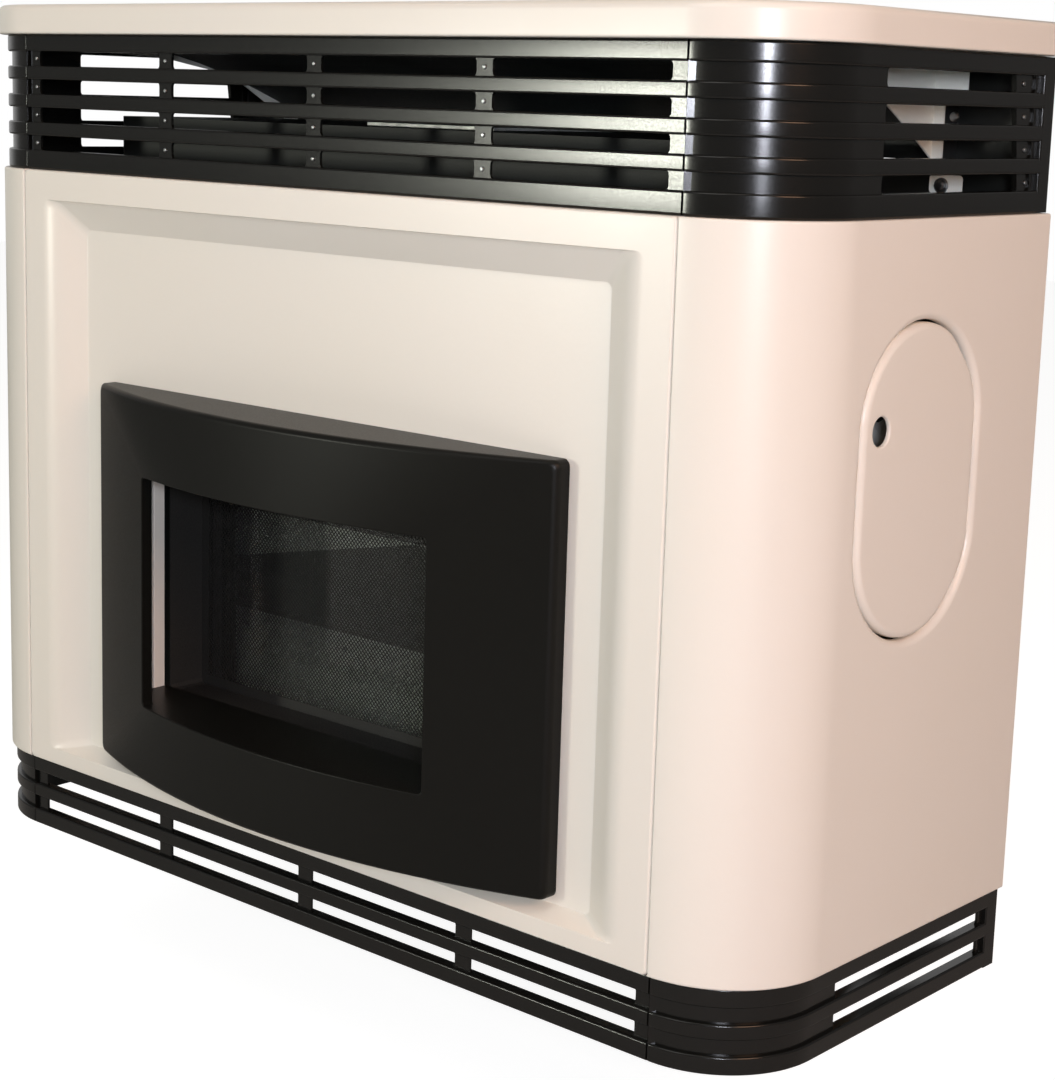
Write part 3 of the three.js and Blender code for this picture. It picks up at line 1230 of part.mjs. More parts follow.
{
  const x0 = plateBack - PIEZO_L;
  const x1 = COLLAR_X + 5;
  const bore = BUTTON_R + BUTTON_CLEAR;
  const boreX = x1 - 22;
  place('piezo_body', turnX([
    [0, x0], [PIEZO_R, x0], [PIEZO_R, COLLAR_X], [PIEZO_R + 3, COLLAR_X], [PIEZO_R + 3, COLLAR_X + 2],
    [PIEZO_R, x1], [bore, x1], [bore, boreX], [0, boreX],
  ], PIEZO_Y, PIEZO_Z, 14), knobBlack);

  const nutX = plateBack - GAP;
  const r = PIEZO_R + GAP;
  place('piezo_nut', turnX([
    [r, nutX - 5], [r + 4, nutX - 5], [r + 4, nutX], [r, nutX], [r, nutX - 5],
  ], PIEZO_Y, PIEZO_Z, 14), steel);

  place('piezo_button', turnX([
    [0, boreX + BUTTON_PRESS + 1], [BUTTON_R, boreX + BUTTON_PRESS + 1], [BUTTON_R, x1 + 8],
    [BUTTON_R - 1.5, x1 + 9.5], [0, x1 + 9.5],
  ], PIEZO_Y, PIEZO_Z, 14), buttonRed, buttonGroup);

  // Ignition lead from the igniter's tail to the electrode by the burner
  const [, , spark] = INJECTOR_HOLES;
  const electrodeX = EX_RIGHT - 40;
  const leadX = EX_RIGHT + 24;
  place('ignition_lead', pipe([
    [x0 - GAP, PIEZO_Y, PIEZO_Z], [leadX, PIEZO_Y, PIEZO_Z], [leadX, spark.y, spark.z],
    [electrodeX + 12 + GAP, spark.y, spark.z],
  ], spark.r, 12), rubberBlack);
  place('spark_electrode', turnX([
    [0, electrodeX - 22], [0.8, electrodeX - 22], [0.8, electrodeX - 8], [3, electrodeX - 8],
    [3, electrodeX + 12], [0, electrodeX + 12],
  ], spark.y, spark.z, 10), ceramic);
}

// Pilot group on its bracket beside the burner
{
  const [pilot, couple, spark] = INJECTOR_HOLES;
  const x = EX_RIGHT - 60;
  const t = 1.5;
  const zTop = couple.z + 8;
  const outline = [
    [spark.y - 7, EX_BOTTOM + EX_T + GAP], [BURNER_Y - BURNER_R - GAP, EX_BOTTOM + EX_T + GAP],
    [BURNER_Y - BURNER_R - GAP, BURNER_Z + 20], [couple.y + 6, BURNER_Z + 24], [couple.y + 6, zTop],
    [spark.y - 7, zTop],
  ];
  const plate = extrudeX(outline, x, x + t);
  const holes = [
    rodX(4.5, x - 5, x + 5, pilot.y, pilot.z, 12),
    rodX(couple.r + 0.4, x - 5, x + 5, couple.y, couple.z, 10),
    rodX(1.2, x - 5, x + 5, spark.y, spark.z, 10),
  ];
  place('pilot_bracket', cut(plate, ...holes), steel);

  place('pilot_burner', turnX([
    [0, x - 16], [4, x - 16], [4, x + t + GAP], [6, x + t + GAP], [6, x + t + 8], [0, x + t + 8],
  ], pilot.y, pilot.z, 12), brassy);

  const pilotX = EX_RIGHT + 14;
  place('pilot_pipe', pipe([
    [x + t + 8 + GAP, pilot.y, pilot.z], [pilotX, pilot.y, pilot.z],
    [pilotX, KNOB_Y + 22, KNOB_Z - 18], [VALVE_X0 - GAP, KNOB_Y + 22, KNOB_Z - 18],
  ], pilot.r, 10), copper);

  const coupleX = EX_RIGHT + 18;
  place('thermocouple', pipe([
    [x - 14, couple.y, couple.z], [coupleX, couple.y, couple.z],
    [coupleX, KNOB_Y - 18, KNOB_Z + 18], [VALVE_X0 - GAP, KNOB_Y - 18, KNOB_Z + 18],
  ], couple.r, 10), copper);
}

// Gas ways: valve to burner, and union to valve
{
  const dropX = EX_RIGHT + BURNER_OUT + GAP + 10;
  place('burner_pipe', pipe([
    [VALVE_X0 - 12 - GAP, OUTLET.y, OUTLET.z], [dropX, OUTLET.y, OUTLET.z], [dropX, BURNER_Y, BURNER_Z + 9 + GAP],
  ], 3, 9, 8), copper);

  const unionZ = 42;
  const unionTop = unionZ + 26;
  place('inlet_pipe', pipe([
    [INLET.x, KNOB_Y, INLET.z - GAP], [INLET.x, KNOB_Y, unionTop + 82], [INLET.x, KNOB_Y + 40, unionTop + 42],
    [INLET.x, KNOB_Y + 40, unionTop + GAP],
  ], 6, 18, 8), copper);
  place('inlet_union', turnZ([
    [0, unionZ], [9, unionZ], [9, unionZ + 8], [12, unionZ + 8], [12, unionZ + 20], [9, unionTop],
    [0, unionTop],
  ], INLET.x, KNOB_Y + 40, 12), brassy);
}

// Thermostat bulb low in the incoming air, its clip and its capillary
{
  const x = UPRIGHT_X0 + 24;
  const r = 5;
  const clipT = 1.2;
  const y = foot - clipT - r - GAP;
  const [z0, z1] = [95, 175];
  place('thermostat_bulb', turnZ([
    [0, z0], [r * 0.6, z0], [r, z0 + 3], [r, z1 - 3], [r * 0.6, z1], [0, z1],
  ], x, y, 12), copper);

  const ringOut = r + GAP + clipT;
  const ring = extrudeZ(arc(x, y, ringOut, 0, 2 * Math.PI * 15 / 16, 15), 130, 140);
  const wings = box(UPRIGHT_X0, UPRIGHT_X1, foot - clipT, foot, 130, 140);
  const bore = rodZ(r + GAP, 120, 150, x, y, 16);
  place('bulb_clip', cut(join(ring, wings), bore), steel);

  const entry = [VALVE_X0 + 18, KNOB_Y + 30 + GAP, KNOB_Z];
  place('thermostat_capillary', pipe([
    [x, y, z1 + GAP], [x, y, z1 + 40], [entry[0], entry[1] + 38, entry[2]], entry,
  ], 1, 16), copper);
}

export default heater;
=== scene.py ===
import math

import bmesh
import bpy
from mathutils import Matrix, Vector


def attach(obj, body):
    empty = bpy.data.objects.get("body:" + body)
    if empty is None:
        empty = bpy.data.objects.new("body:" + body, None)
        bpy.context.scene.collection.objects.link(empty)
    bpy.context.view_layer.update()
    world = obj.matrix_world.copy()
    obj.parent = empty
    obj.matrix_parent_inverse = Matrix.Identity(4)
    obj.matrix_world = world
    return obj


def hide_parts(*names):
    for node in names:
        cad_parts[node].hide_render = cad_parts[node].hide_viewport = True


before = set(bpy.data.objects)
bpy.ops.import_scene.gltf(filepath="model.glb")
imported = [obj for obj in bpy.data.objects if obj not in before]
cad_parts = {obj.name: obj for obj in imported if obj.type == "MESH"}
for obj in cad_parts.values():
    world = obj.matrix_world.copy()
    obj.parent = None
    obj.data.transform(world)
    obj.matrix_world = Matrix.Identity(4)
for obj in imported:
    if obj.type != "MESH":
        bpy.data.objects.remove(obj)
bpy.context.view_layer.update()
mm = 0.001
wallRail = 560                      # heights below are given from the bottom edge of the case
toFront = (math.pi / 2, 0, 0)
toSide = (math.pi / 2, 0, math.pi / 2)
print("frame loaded")


# hand tools
def clearPicks():
    if bpy.context.mode != "OBJECT":
        bpy.ops.object.mode_set(mode="OBJECT")
    bpy.ops.object.select_all(action="DESELECT")


def takeUp(obj):
    clearPicks()
    obj.select_set(True)
    bpy.context.view_layer.objects.active = obj
    return obj


def named(name):
    obj = bpy.context.object
    obj.name = name
    obj.data.name = name
    bpy.ops.object.transform_apply(location=True, rotation=True, scale=True)
    return obj


def at(x, y, z):
    return Vector((x, y, z - wallRail)) * mm


def near(a, b, tolerance=0.06):
    return abs(a - b) < tolerance


def addBlock(name, xs, ys, zs):
    clearPicks()
    middle = [(a + b) / 2 for a, b in (xs, ys, zs)]
    bpy.ops.mesh.primitive_cube_add(size=1, location=at(*middle))
    bpy.context.object.scale = [(b - a) * mm for a, b in (xs, ys, zs)]
    return named(name)


# upright unless it is turned
def addRod(name, radius, length, middle, around, turn=(0, 0, 0)):
    clearPicks()
    bpy.ops.mesh.primitive_cylinder_add(
        vertices=around, radius=radius * mm, depth=length * mm, location=at(*middle), rotation=turn
    )
    return named(name)


# within edit mode it is added to the piece in hand
def addCircle(radius, middle, around, turn, filled=False):
    bpy.ops.mesh.primitive_circle_add(
        vertices=around, radius=radius * mm, fill_type="NGON" if filled else "NOTHING",
        location=at(*middle), rotation=turn
    )


# front facing sheet
def addPlate(name, xs, zs, y):
    clearPicks()
    bpy.ops.mesh.primitive_plane_add(
        size=1, location=at(sum(xs) / 2, y, sum(zs) / 2), rotation=toFront
    )
    bpy.context.object.scale = ((xs[1] - xs[0]) * mm, (zs[1] - zs[0]) * mm, 1)
    return named(name)


# edit mode, with the corners, edges or faces selected whose points all pass the test
def pick(obj, kind, test, openOnly=False, along=None):
    if bpy.context.mode != "EDIT_MESH" or bpy.context.object is not obj:
        takeUp(obj)
        bpy.ops.object.mode_set(mode="EDIT")
    bpy.ops.mesh.select_mode(type=kind)
    bpy.ops.mesh.select_all(action="DESELECT")
    mesh = bmesh.from_edit_mesh(obj.data)
    found = 0
    for item in {"VERT": mesh.verts, "EDGE": mesh.edges, "FACE": mesh.faces}[kind]:
        if openOnly and not item.is_boundary:
            continue
        corners = [item] if kind == "VERT" else item.verts
        points = [corner.co / mm + Vector((0, 0, wallRail)) for corner in corners]
        if along is not None:
            step = (points[1] - points[0]).normalized()
            if abs(step[along]) < 0.999:
                continue
        if all(test(p) for p in points):
            item.select_set(True)
            found += 1
    mesh.select_flush_mode()
    bmesh.update_edit_mesh(obj.data)
    return found


def pull(x=0.0, y=0.0, z=0.0):
    bpy.ops.mesh.extrude_region_move(
        TRANSFORM_OT_translate={"value": (x * mm, y * mm, z * mm)}
    )


def move(x=0.0, y=0.0, z=0.0):
    bpy.ops.transform.translate(value=(x * mm, y * mm, z * mm))


def stretch(x, y, z, centre):
    bpy.ops.transform.resize(value=(x, y, z), center_override=at(*centre))


def roundOff(radius, segments, corners=False):
    bpy.ops.mesh.bevel(
        offset=radius * mm, segments=segments, affect="VERTICES" if corners else "EDGES"
    )


def insetBy(thickness, depth):
    bpy.ops.mesh.inset(thickness=thickness * mm, depth=depth * mm, use_even_offset=True)


def useModifier(obj, kind, **settings):
    takeUp(obj)
    modifier = obj.modifiers.new(kind.title(), kind)
    for key, value in settings.items():
        setattr(modifier, key, value)
    bpy.ops.object.modifier_apply(modifier=modifier.name)
    return obj


# merges doubles and turns the faces of an open sheet to one side
def faceAlong(obj, direction):
    pick(obj, "FACE", lambda p: True)
    bpy.ops.mesh.remove_doubles(threshold=0.02 * mm)
    bpy.ops.mesh.select_all(action="SELECT")
    bpy.ops.mesh.normals_make_consistent(inside=False)
    mesh = bmesh.from_edit_mesh(obj.data)
    total = sum((f.normal * f.calc_area() for f in mesh.faces), Vector())
    if total.dot(Vector(direction)) < 0:
        bpy.ops.mesh.flip_normals()
    clearPicks()
    return obj


# merges doubles, caps what is open and turns a closed solid outwards
def closeUp(obj):
    pick(obj, "FACE", lambda p: True)
    bpy.ops.mesh.remove_doubles(threshold=0.02 * mm)
    pick(obj, "EDGE", lambda p: True, openOnly=True)
    bpy.ops.mesh.fill_holes(sides=0)
    bpy.ops.mesh.select_all(action="SELECT")
    bpy.ops.mesh.normals_make_consistent(inside=False)
    clearPicks()
    return obj


def thicken(obj, sheet):
    return useModifier(
        obj, "SOLIDIFY", thickness=sheet * mm, offset=-1, use_even_offset=True,
        use_quality_normals=True
    )


def combine(obj, tool, operation):
    useModifier(obj, "BOOLEAN", object=tool, operation=operation, solver="EXACT")
    bpy.data.objects.remove(tool)
    return obj


def joined(name, objects):
    clearPicks()
    for obj in objects:
        obj.select_set(True)
    bpy.context.view_layer.objects.active = objects[0]
    bpy.ops.object.join()
    objects[0].name = name
    return objects[0]


def duplicate(obj, name):
    takeUp(obj)
    bpy.ops.object.duplicate()
    return named(name)


def mirrored(obj, name):
    copy = duplicate(obj, name)
    copy.scale = (-1, 1, 1)
    bpy.ops.object.transform_apply(scale=True)
    return copy


def smooth(obj, degrees=35):
    takeUp(obj)
    bpy.ops.object.shade_smooth_by_angle(angle=math.radians(degrees))
    return obj


# finishes
# sRGB hex to linear
def colour(code):
    parts = [int(code[i:i + 2], 16) / 255 for i in (1, 3, 5)]
    return [p / 12.92 if p <= 0.04045 else ((p + 0.055) / 1.055) ** 2.4 for p in parts] + [1]


def addNode(tree, kind, settings=None, sockets=None, links=None):
    node = tree.nodes.new(kind)
    for key, value in (settings or {}).items():
        setattr(node, key, value)
    for key, value in (sockets or {}).items():
        node.inputs[key].default_value = value
    for key, source in (links or {}).items():
        tree.links.new(source, node.inputs[key])
    return node


def startMaterial(name):
    material = bpy.data.materials.new(name)
    material.use_nodes = True
    tree = material.node_tree
    tree.nodes.clear()
    place = addNode(tree, "ShaderNodeTexCoord").outputs["Object"]
    return material, tree, place


def endMaterial(material, sockets, links):
    tree = material.node_tree
    shader = addNode(tree, "ShaderNodeBsdfPrincipled", sockets=sockets, links=links)
    addNode(tree, "ShaderNodeOutputMaterial", links={"Surface": shader.outputs[0]})
    return material


# two close shades in soft patches, uneven gloss and a fine relief, sizes in millimetres
def plainFinish(name, first, second, rough, patch, grain, height, metallic=0.0, gleam=0.5):
    material, tree, place = startMaterial(name)
    patches = addNode(tree, "ShaderNodeTexNoise", sockets={
        "Scale": 1 / (patch * mm), "Detail": 3.0}, links={"Vector": place})
    fine = addNode(tree, "ShaderNodeTexNoise", sockets={
        "Scale": 1 / (grain * mm), "Detail": 2.0}, links={"Vector": place})
    shade = addNode(tree, "ShaderNodeMix", {"data_type": "RGBA"}, {
        6: colour(first), 7: colour(second)}, {0: patches.outputs["Fac"]})
    gloss = addNode(tree, "ShaderNodeMapRange", sockets={
        "From Min": 0.3, "From Max": 0.7, "To Min": rough[0], "To Max": rough[1]
    }, links={"Value": fine.outputs["Fac"]})
    bumps = addNode(tree, "ShaderNodeBump", sockets={
        "Distance": height * mm, "Strength": 1.0}, links={"Height": fine.outputs["Fac"]})
    sockets = {"Metallic": metallic, "Specular IOR Level": gleam}
    if metallic < 0.5:
        sockets["IOR"] = 1.5
    return endMaterial(material, sockets, {
        "Base Color": shade.outputs[2], "Roughness": gloss.outputs[0],
        "Normal": bumps.outputs[0]})


def vitreousEnamel():
    # fired cream enamel on pressed steel: glassy, with a soft orange peel of 3 to 4 mm
    material, tree, place = startMaterial("creamVitreousEnamel")
    cloud = addNode(tree, "ShaderNodeTexNoise", sockets={
        "Scale": 1 / (170 * mm), "Detail": 2.0}, links={"Vector": place})
    peel = addNode(tree, "ShaderNodeTexNoise", sockets={
        "Scale": 1 / (3.4 * mm), "Detail": 2.0, "Roughness": 0.45}, links={"Vector": place})
    speck = addNode(tree, "ShaderNodeTexNoise", sockets={
        "Scale": 1 / (0.9 * mm), "Detail": 1.0}, links={"Vector": place})
    shade = addNode(tree, "ShaderNodeMix", {"data_type": "RGBA"}, {
        6: colour("#EAE4DC"), 7: colour("#E7E0D5")}, {0: cloud.outputs["Fac"]})
    gloss = addNode(tree, "ShaderNodeMapRange", sockets={
        "From Min": 0.3, "From Max": 0.7, "To Min": 0.3, "To Max": 0.38
    }, links={"Value": cloud.outputs["Fac"]})
    waves = addNode(tree, "ShaderNodeBump", sockets={
        "Distance": 0.1 * mm, "Strength": 0.5}, links={"Height": peel.outputs["Fac"]})
    grit = addNode(tree, "ShaderNodeBump", sockets={
        "Distance": 0.02 * mm, "Strength": 0.4
    }, links={"Height": speck.outputs["Fac"], "Normal": waves.outputs[0]})
    return endMaterial(material, {"IOR": 1.5}, {
        "Base Color": shade.outputs[2], "Roughness": gloss.outputs[0], "Normal": grit.outputs[0]})


def galvanisedSheet():
    # hot dip zinc: large flat crystals that differ in shade and gloss, here about 6 mm
    material, tree, place = startMaterial("galvanisedSheet")
    crystals = addNode(tree, "ShaderNodeTexVoronoi", sockets={
        "Scale": 1 / (6 * mm)}, links={"Vector": place})
    facet = addNode(tree, "ShaderNodeSeparateColor", links={"Color": crystals.outputs["Color"]})
    fine = addNode(tree, "ShaderNodeTexNoise", sockets={
        "Scale": 1 / (1.5 * mm), "Detail": 2.0}, links={"Vector": place})
    shade = addNode(tree, "ShaderNodeMix", {"data_type": "RGBA"}, {
        6: colour("#DCDED9"), 7: colour("#EDEEEA")}, {0: facet.outputs["Red"]})
    gloss = addNode(tree, "ShaderNodeMapRange", sockets={
        "To Min": 0.4, "To Max": 0.58}, links={"Value": facet.outputs["Green"]})
    bumps = addNode(tree, "ShaderNodeBump", sockets={
        "Distance": 0.02 * mm, "Strength": 0.4}, links={"Height": fine.outputs["Fac"]})
    return endMaterial(material, {"Metallic": 0.55}, {
        "Base Color": shade.outputs[2], "Roughness": gloss.outputs[0], "Normal": bumps.outputs[0]})


def furnaceGlass():
    # flat glass ceramic, faintly grey, with a thin uneven film of soot
    material, tree, place = startMaterial("furnaceGlass")
    film = addNode(tree, "ShaderNodeTexNoise", sockets={
        "Scale": 1 / (60 * mm), "Detail": 3.0}, links={"Vector": place})
    gloss = addNode(tree, "ShaderNodeMapRange", sockets={
        "From Min": 0.3, "From Max": 0.7, "To Min": 0.0, "To Max": 0.05
    }, links={"Value": film.outputs["Fac"]})
    return endMaterial(material, {
        "IOR": 1.52, "Transmission Weight": 1.0, "Base Color": colour("#E6EAE7")
    }, {"Roughness": gloss.outputs[0]})


def glassRope():
    # braided glass fibre blackened with graphite, strands about 2 mm across
    material, tree, place = startMaterial("graphitedGlassRope")
    braid = addNode(tree, "ShaderNodeTexWave", {"bands_direction": "DIAGONAL"}, {
        "Scale": 70.0, "Distortion": 1.5}, {"Vector": place})
    shade = addNode(tree, "ShaderNodeMix", {"data_type": "RGBA"}, {
        6: colour("#1F1F1E"), 7: colour("#3A3936")}, {0: braid.outputs["Fac"]})
    gloss = addNode(tree, "ShaderNodeMapRange", sockets={
        "To Min": 0.75, "To Max": 0.9}, links={"Value": braid.outputs["Fac"]})
    bumps = addNode(tree, "ShaderNodeBump", sockets={
        "Distance": 0.4 * mm, "Strength": 0.6}, links={"Height": braid.outputs["Fac"]})
    return endMaterial(material, {"IOR": 1.5}, {
        "Base Color": shade.outputs[2], "Roughness": gloss.outputs[0], "Normal": bumps.outputs[0]})


finishes = {
    "cream_enamel": vitreousEnamel(),
    # satin stove enamel on thin pressed steel
    "grille_black": plainFinish(
        "blackStoveEnamel", "#131311", "#0F0F0E", (0.17, 0.23), 60, 0.9, 0.01, 0.0, 0.4),
    # powder coat with a fine grain
    "bezel_black": plainFinish(
        "charcoalPowderCoat", "#11110F", "#141412", (0.32, 0.42), 80, 0.8, 0.03, 0.0, 0.15),
    # heat proof paint, dull and slightly brown where it has been hot
    "heat_black": plainFinish(
        "heatProofPaint", "#1F1F1E", "#2A2825", (0.55, 0.75), 40, 1.2, 0.05, 0.1),
    # ground enamel of the burner parts
    "enamel_grey": plainFinish(
        "greyGroundEnamel", "#6E716A", "#5F625B", (0.4, 0.55), 45, 1.0, 0.04, 0.1),
    "galvanised": galvanisedSheet(),
    # sand cast alloy, grit of about half a millimetre
    "cast_alloy": plainFinish(
        "castAluminium", "#A3A6A8", "#939698", (0.42, 0.58), 20, 0.6, 0.08, 1.0),
    "brass": plainFinish(
        "turnedBrass", "#B8924C", "#A98243", (0.26, 0.38), 12, 0.7, 0.01, 1.0),
    "copper": plainFinish(
        "annealedCopper", "#B36D48", "#9C5B3B", (0.28, 0.42), 14, 0.8, 0.01, 1.0),
    "steel": plainFinish(
        "zincPlatedSteel", "#9A9C9D", "#8A8C8E", (0.26, 0.38), 10, 0.6, 0.01, 1.0),
    "rope": glassRope(),
    # glazed alumina
    "ceramic": plainFinish(
        "glazedAlumina", "#E9E6DC", "#DFDBD0", (0.18, 0.3), 8, 0.8, 0.01),
    # moulded ABS, fine spark eroded texture
    "knob_black": plainFinish(
        "blackAbs", "#1B1B1C", "#222223", (0.38, 0.5), 15, 0.5, 0.02),
    "button_red": plainFinish(
        "redAbs", "#8E2420", "#9A2C26", (0.3, 0.42), 10, 0.5, 0.01),
    "cable_black": plainFinish(
        "siliconeLead", "#161617", "#1E1E1F", (0.6, 0.75), 10, 0.7, 0.02),
    "glass": furnaceGlass(),
}
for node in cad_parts.values():
    slotName = node.data.materials[0].name.split(".")[0]
    node.data.materials[0] = finishes[slotName]


def paint(finish, *names):
    for name in names:
        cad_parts[name].data.materials[0] = finish


# the air deflector is painted dark blue grey, as painted shade for the unlit inside of the case
paint(plainFinish(
    "blueGreyPaintedShade", "#1C2426", "#161B1C", (0.5, 0.66), 50, 1.0, 0.02, 0.2), "air_deflector")
# pale, dull steel seen through the mesh, made paler still as painted light for the lit fire chamber
paleSteelPaintedLight = plainFinish(
    "paleSteelWithPaintedLight", "#E0E2DA", "#CFD1C8", (0.42, 0.56), 40, 1.0, 0.03, 0.2)
paint(paleSteelPaintedLight, "burner_guard", "flue_baffle")
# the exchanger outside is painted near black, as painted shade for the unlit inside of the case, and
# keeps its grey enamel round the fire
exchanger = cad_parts["heat_exchanger"]
exchanger.data.materials.append(plainFinish(
    "exchangerPaintedShade", "#1A1D1B", "#141614", (0.5, 0.66), 60, 1.0, 0.03))
fireBox = {"x": (-284, 244), "y": (-219, -63), "z": (-467, -16)}
for face in exchanger.data.polygons:
    middle = face.center / mm
    inside = all(low < c < high for c, (low, high) in zip(middle, fireBox.values()))
    face.material_index = 0 if inside else 1
# the wall frame is painted dark, and the dark also stands as painted shade where it lies unlit behind
# the side slots
frameDarkPaintAndShade = plainFinish("frameDarkPaintAndShade", "#1C1D1B", "#151614", (0.34, 0.46), 50, 1.0, 0.03)
paint(frameDarkPaintAndShade, "hanging_rail", "lower_rail", "upright_left", "upright_right", "heat_shield")
# the round parts of the frame are shaded as round
for name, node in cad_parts.items():
    smooth(node, 50 if "pip" in name or "thermo" in name or "lead" in name else 38)
print("finishes made")


# gives a finished piece its finish, its body and the nodes that it stands for
def fit(obj, body, slotName, *nodes, degrees=35, finish=None):
    obj.data.materials.clear()
    obj.data.materials.append(finish or finishes[slotName])
    smooth(obj, degrees)
    # large flats stay flat beside their rounded edges
    useModifier(obj, "WEIGHTED_NORMAL", keep_sharp=True)
    clearPicks()
    if nodes:
        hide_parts(*nodes)
    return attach(obj, body)


# lid
lid = {
    "half": 381, "front": -297, "rear": -2, "bottom": 602.5, "top": 623.5,
    "cornerR": 77, "edgeR": 5, "foldR": 1.5, "fold": 13, "sheet": 1.5,
}


def buildLid():
    s = lid
    obj = addBlock(
        "lidTray", (-s["half"], s["half"]), (s["front"], s["rear"]), (s["bottom"], s["top"])
    )
    pick(obj, "EDGE", lambda p: near(p.y, s["front"]) and near(abs(p.x), s["half"]), along=2)
    roundOff(s["cornerR"], 24)
    pick(obj, "EDGE", lambda p: near(p.z, s["top"]))
    roundOff(s["edgeR"], 6)
    pick(obj, "EDGE", lambda p: near(p.z, s["bottom"]))
    roundOff(s["foldR"], 3)
    pick(obj, "FACE", lambda p: near(p.z, s["bottom"]))
    insetBy(s["fold"] - s["foldR"], 0)
    bpy.ops.mesh.delete(type="FACE")
    faceAlong(obj, (0, 0, 1))
    thicken(obj, s["sheet"])
    return fit(obj, "case", "cream_enamel", "top_lid")


# front panel
panel = {
    "half": 303.6, "bottom": 55, "top": 505, "face": -294, "fold": 14, "edgeR": 2,
    "recessHalf": 282, "recessBottom": 67.5, "recessTop": 484, "recessR": 6,
    "floorHalf": 247, "floorBottom": 73.5, "floorTop": 463, "depth": 14.5, "support": 1.5,
    # how far down, and how far in at the sides, the top and the foot of the recess
    "slope": [
        (0.01, 0.09, 0.01, 0.02), (0.04, 0.18, 0.015, 0.05), (0.09, 0.27, 0.025, 0.1),
        (0.16, 0.36, 0.06, 0.17), (0.25, 0.44, 0.16, 0.26), (0.36, 0.53, 0.29, 0.37),
        (0.5, 0.625, 0.445, 0.5), (0.7, 0.765, 0.67, 0.7), (0.96, 0.955, 0.955, 0.95),
        (0.99, 0.98, 0.985, 0.98), (1.0, 1.0, 1.0, 1.0),
    ],
    "cutHalf": 172, "cutBottom": 132, "cutTop": 296, "cutFold": 9.5, "cutR": 1.2,
    "cornerR": 3, "cornerZone": 6.6, "sheet": 1.5,
}


def buildPanel():
    s = panel
    low, high, half = s["recessBottom"], s["recessTop"], s["recessHalf"]
    obj = addPlate("frontPressing", (-half, half), (low, high), s["face"])
    pick(obj, "VERT", lambda p: True)
    roundOff(s["recessR"], 8, corners=True)
    pick(obj, "FACE", lambda p: True)
    depth = 0.0

    # one more ring: extruded, sized about its own middle, then moved
    def ring(toHalf, toLow, toHigh, toDepth):
        nonlocal low, high, half, depth
        middle = (low + high) / 2
        pull()
        stretch(toHalf / half, 1, (toHigh - toLow) / (high - low), (0, 0, middle))
        move(0, toDepth - depth, (toLow + toHigh) / 2 - middle)
        low, high, half, depth = toLow, toHigh, toHalf, toDepth

    for down, side, head, foot in s["slope"]:
        ring(
            s["recessHalf"] + (s["floorHalf"] - s["recessHalf"]) * side,
            s["recessBottom"] + (s["floorBottom"] - s["recessBottom"]) * foot,
            s["recessTop"] + (s["floorTop"] - s["recessTop"]) * head,
            s["depth"] * down
        )
    tight = s["support"]                # keeps the crease at the floor narrow
    ring(half - tight, low + tight, high - tight, s["depth"])
    ring(s["cutHalf"], s["cutBottom"], s["cutTop"], s["depth"])
    pull(0, s["cutFold"])
    bpy.ops.mesh.delete(type="FACE")
    # the sheet that the first ring was pulled from is still there, across the recess
    pick(obj, "FACE", lambda p: near(p.y, s["face"]))
    bpy.ops.mesh.delete(type="ONLY_FACE")
    floor = s["face"] + s["depth"]
    pick(obj, "EDGE", lambda p: near(p.y, floor) and abs(p.x) < s["cutHalf"] + 0.1
         and s["cutBottom"] - 0.1 < p.z < s["cutTop"] + 0.1)
    roundOff(s["cutR"], 3)

    outerHigh, outerLow, outer = s["top"], s["bottom"], s["half"]
    pick(obj, "EDGE", lambda p: near(p.y, s["face"]), openOnly=True)
    pull()
    middle = (s["recessBottom"] + s["recessTop"]) / 2
    rise = s["recessTop"] - s["recessBottom"]
    stretch(outer / s["recessHalf"], 1, (outerHigh - outerLow) / rise, (0, 0, middle))
    move(0, 0, (outerHigh + outerLow) / 2 - middle)
    # the corners grew with the sheet and are drawn together to their own radius
    squeeze = s["cornerR"] / (s["recessR"] * outer / s["recessHalf"])
    for x in (-outer, outer):
        for z in (outerLow, outerHigh):
            pick(obj, "VERT", lambda p: near(p.x, x, s["cornerZone"])
                 and near(p.z, z, s["cornerZone"]), openOnly=True)
            stretch(squeeze, 1, squeeze, (x, s["face"], z))
    pick(obj, "EDGE", lambda p: near(p.y, s["face"]), openOnly=True)
    pull(0, s["fold"])
    pick(obj, "EDGE", lambda p: near(p.y, s["face"]) and (
        abs(p.x) > outer - s["cornerR"] - 0.3
        or near(p.z, outerLow, 0.1) or near(p.z, outerHigh, 0.1)))
    roundOff(s["edgeR"], 4)
    faceAlong(obj, (0, -1, 0))
    thicken(obj, s["sheet"])
    return fit(obj, "case", "cream_enamel", "front_panel")


# side covers and control door
cover = {
    "seam": 304.4, "side": 378, "face": -294, "rear": -2, "bottom": 55, "top": 505,
    "foldR": 1.6, "fold": 13.7, "seamFold": 14, "seamR": 1.2, "sheet": 1.5, "turnSteps": 28,
}
door = {
    "radius": 63.6, "rise": 32.5, "y": -142, "z": 347.5, "gap": 1.7, "edgeR": 4.6, "rim": 8,
    "holeR": 9, "holeEdge": 1.4, "holeY": -186.5, "holeZ": 382, "holeDepth": 2.4, "sheet": 1.5,
    "nip": 3, "nipY": -96, "nipWide": 9.5, "around": 60, "edgeSteps": 5, "holeAround": 32,
    "hingeX": 373, "hingeY": -93, "eyeR": 3.1, "boreR": 1.8, "bore": 60, "lug": 8, "lugOut": 20.5,
    "reliefIn": 20, "reliefY": (-88.9, -70), "reliefHalf": 15.5,
}


# upright oval facing the side: a circle whose halves are moved apart
def addOval(radius, x, filled):
    addCircle(radius, (x, door["y"], door["z"]), door["around"], toSide, filled)


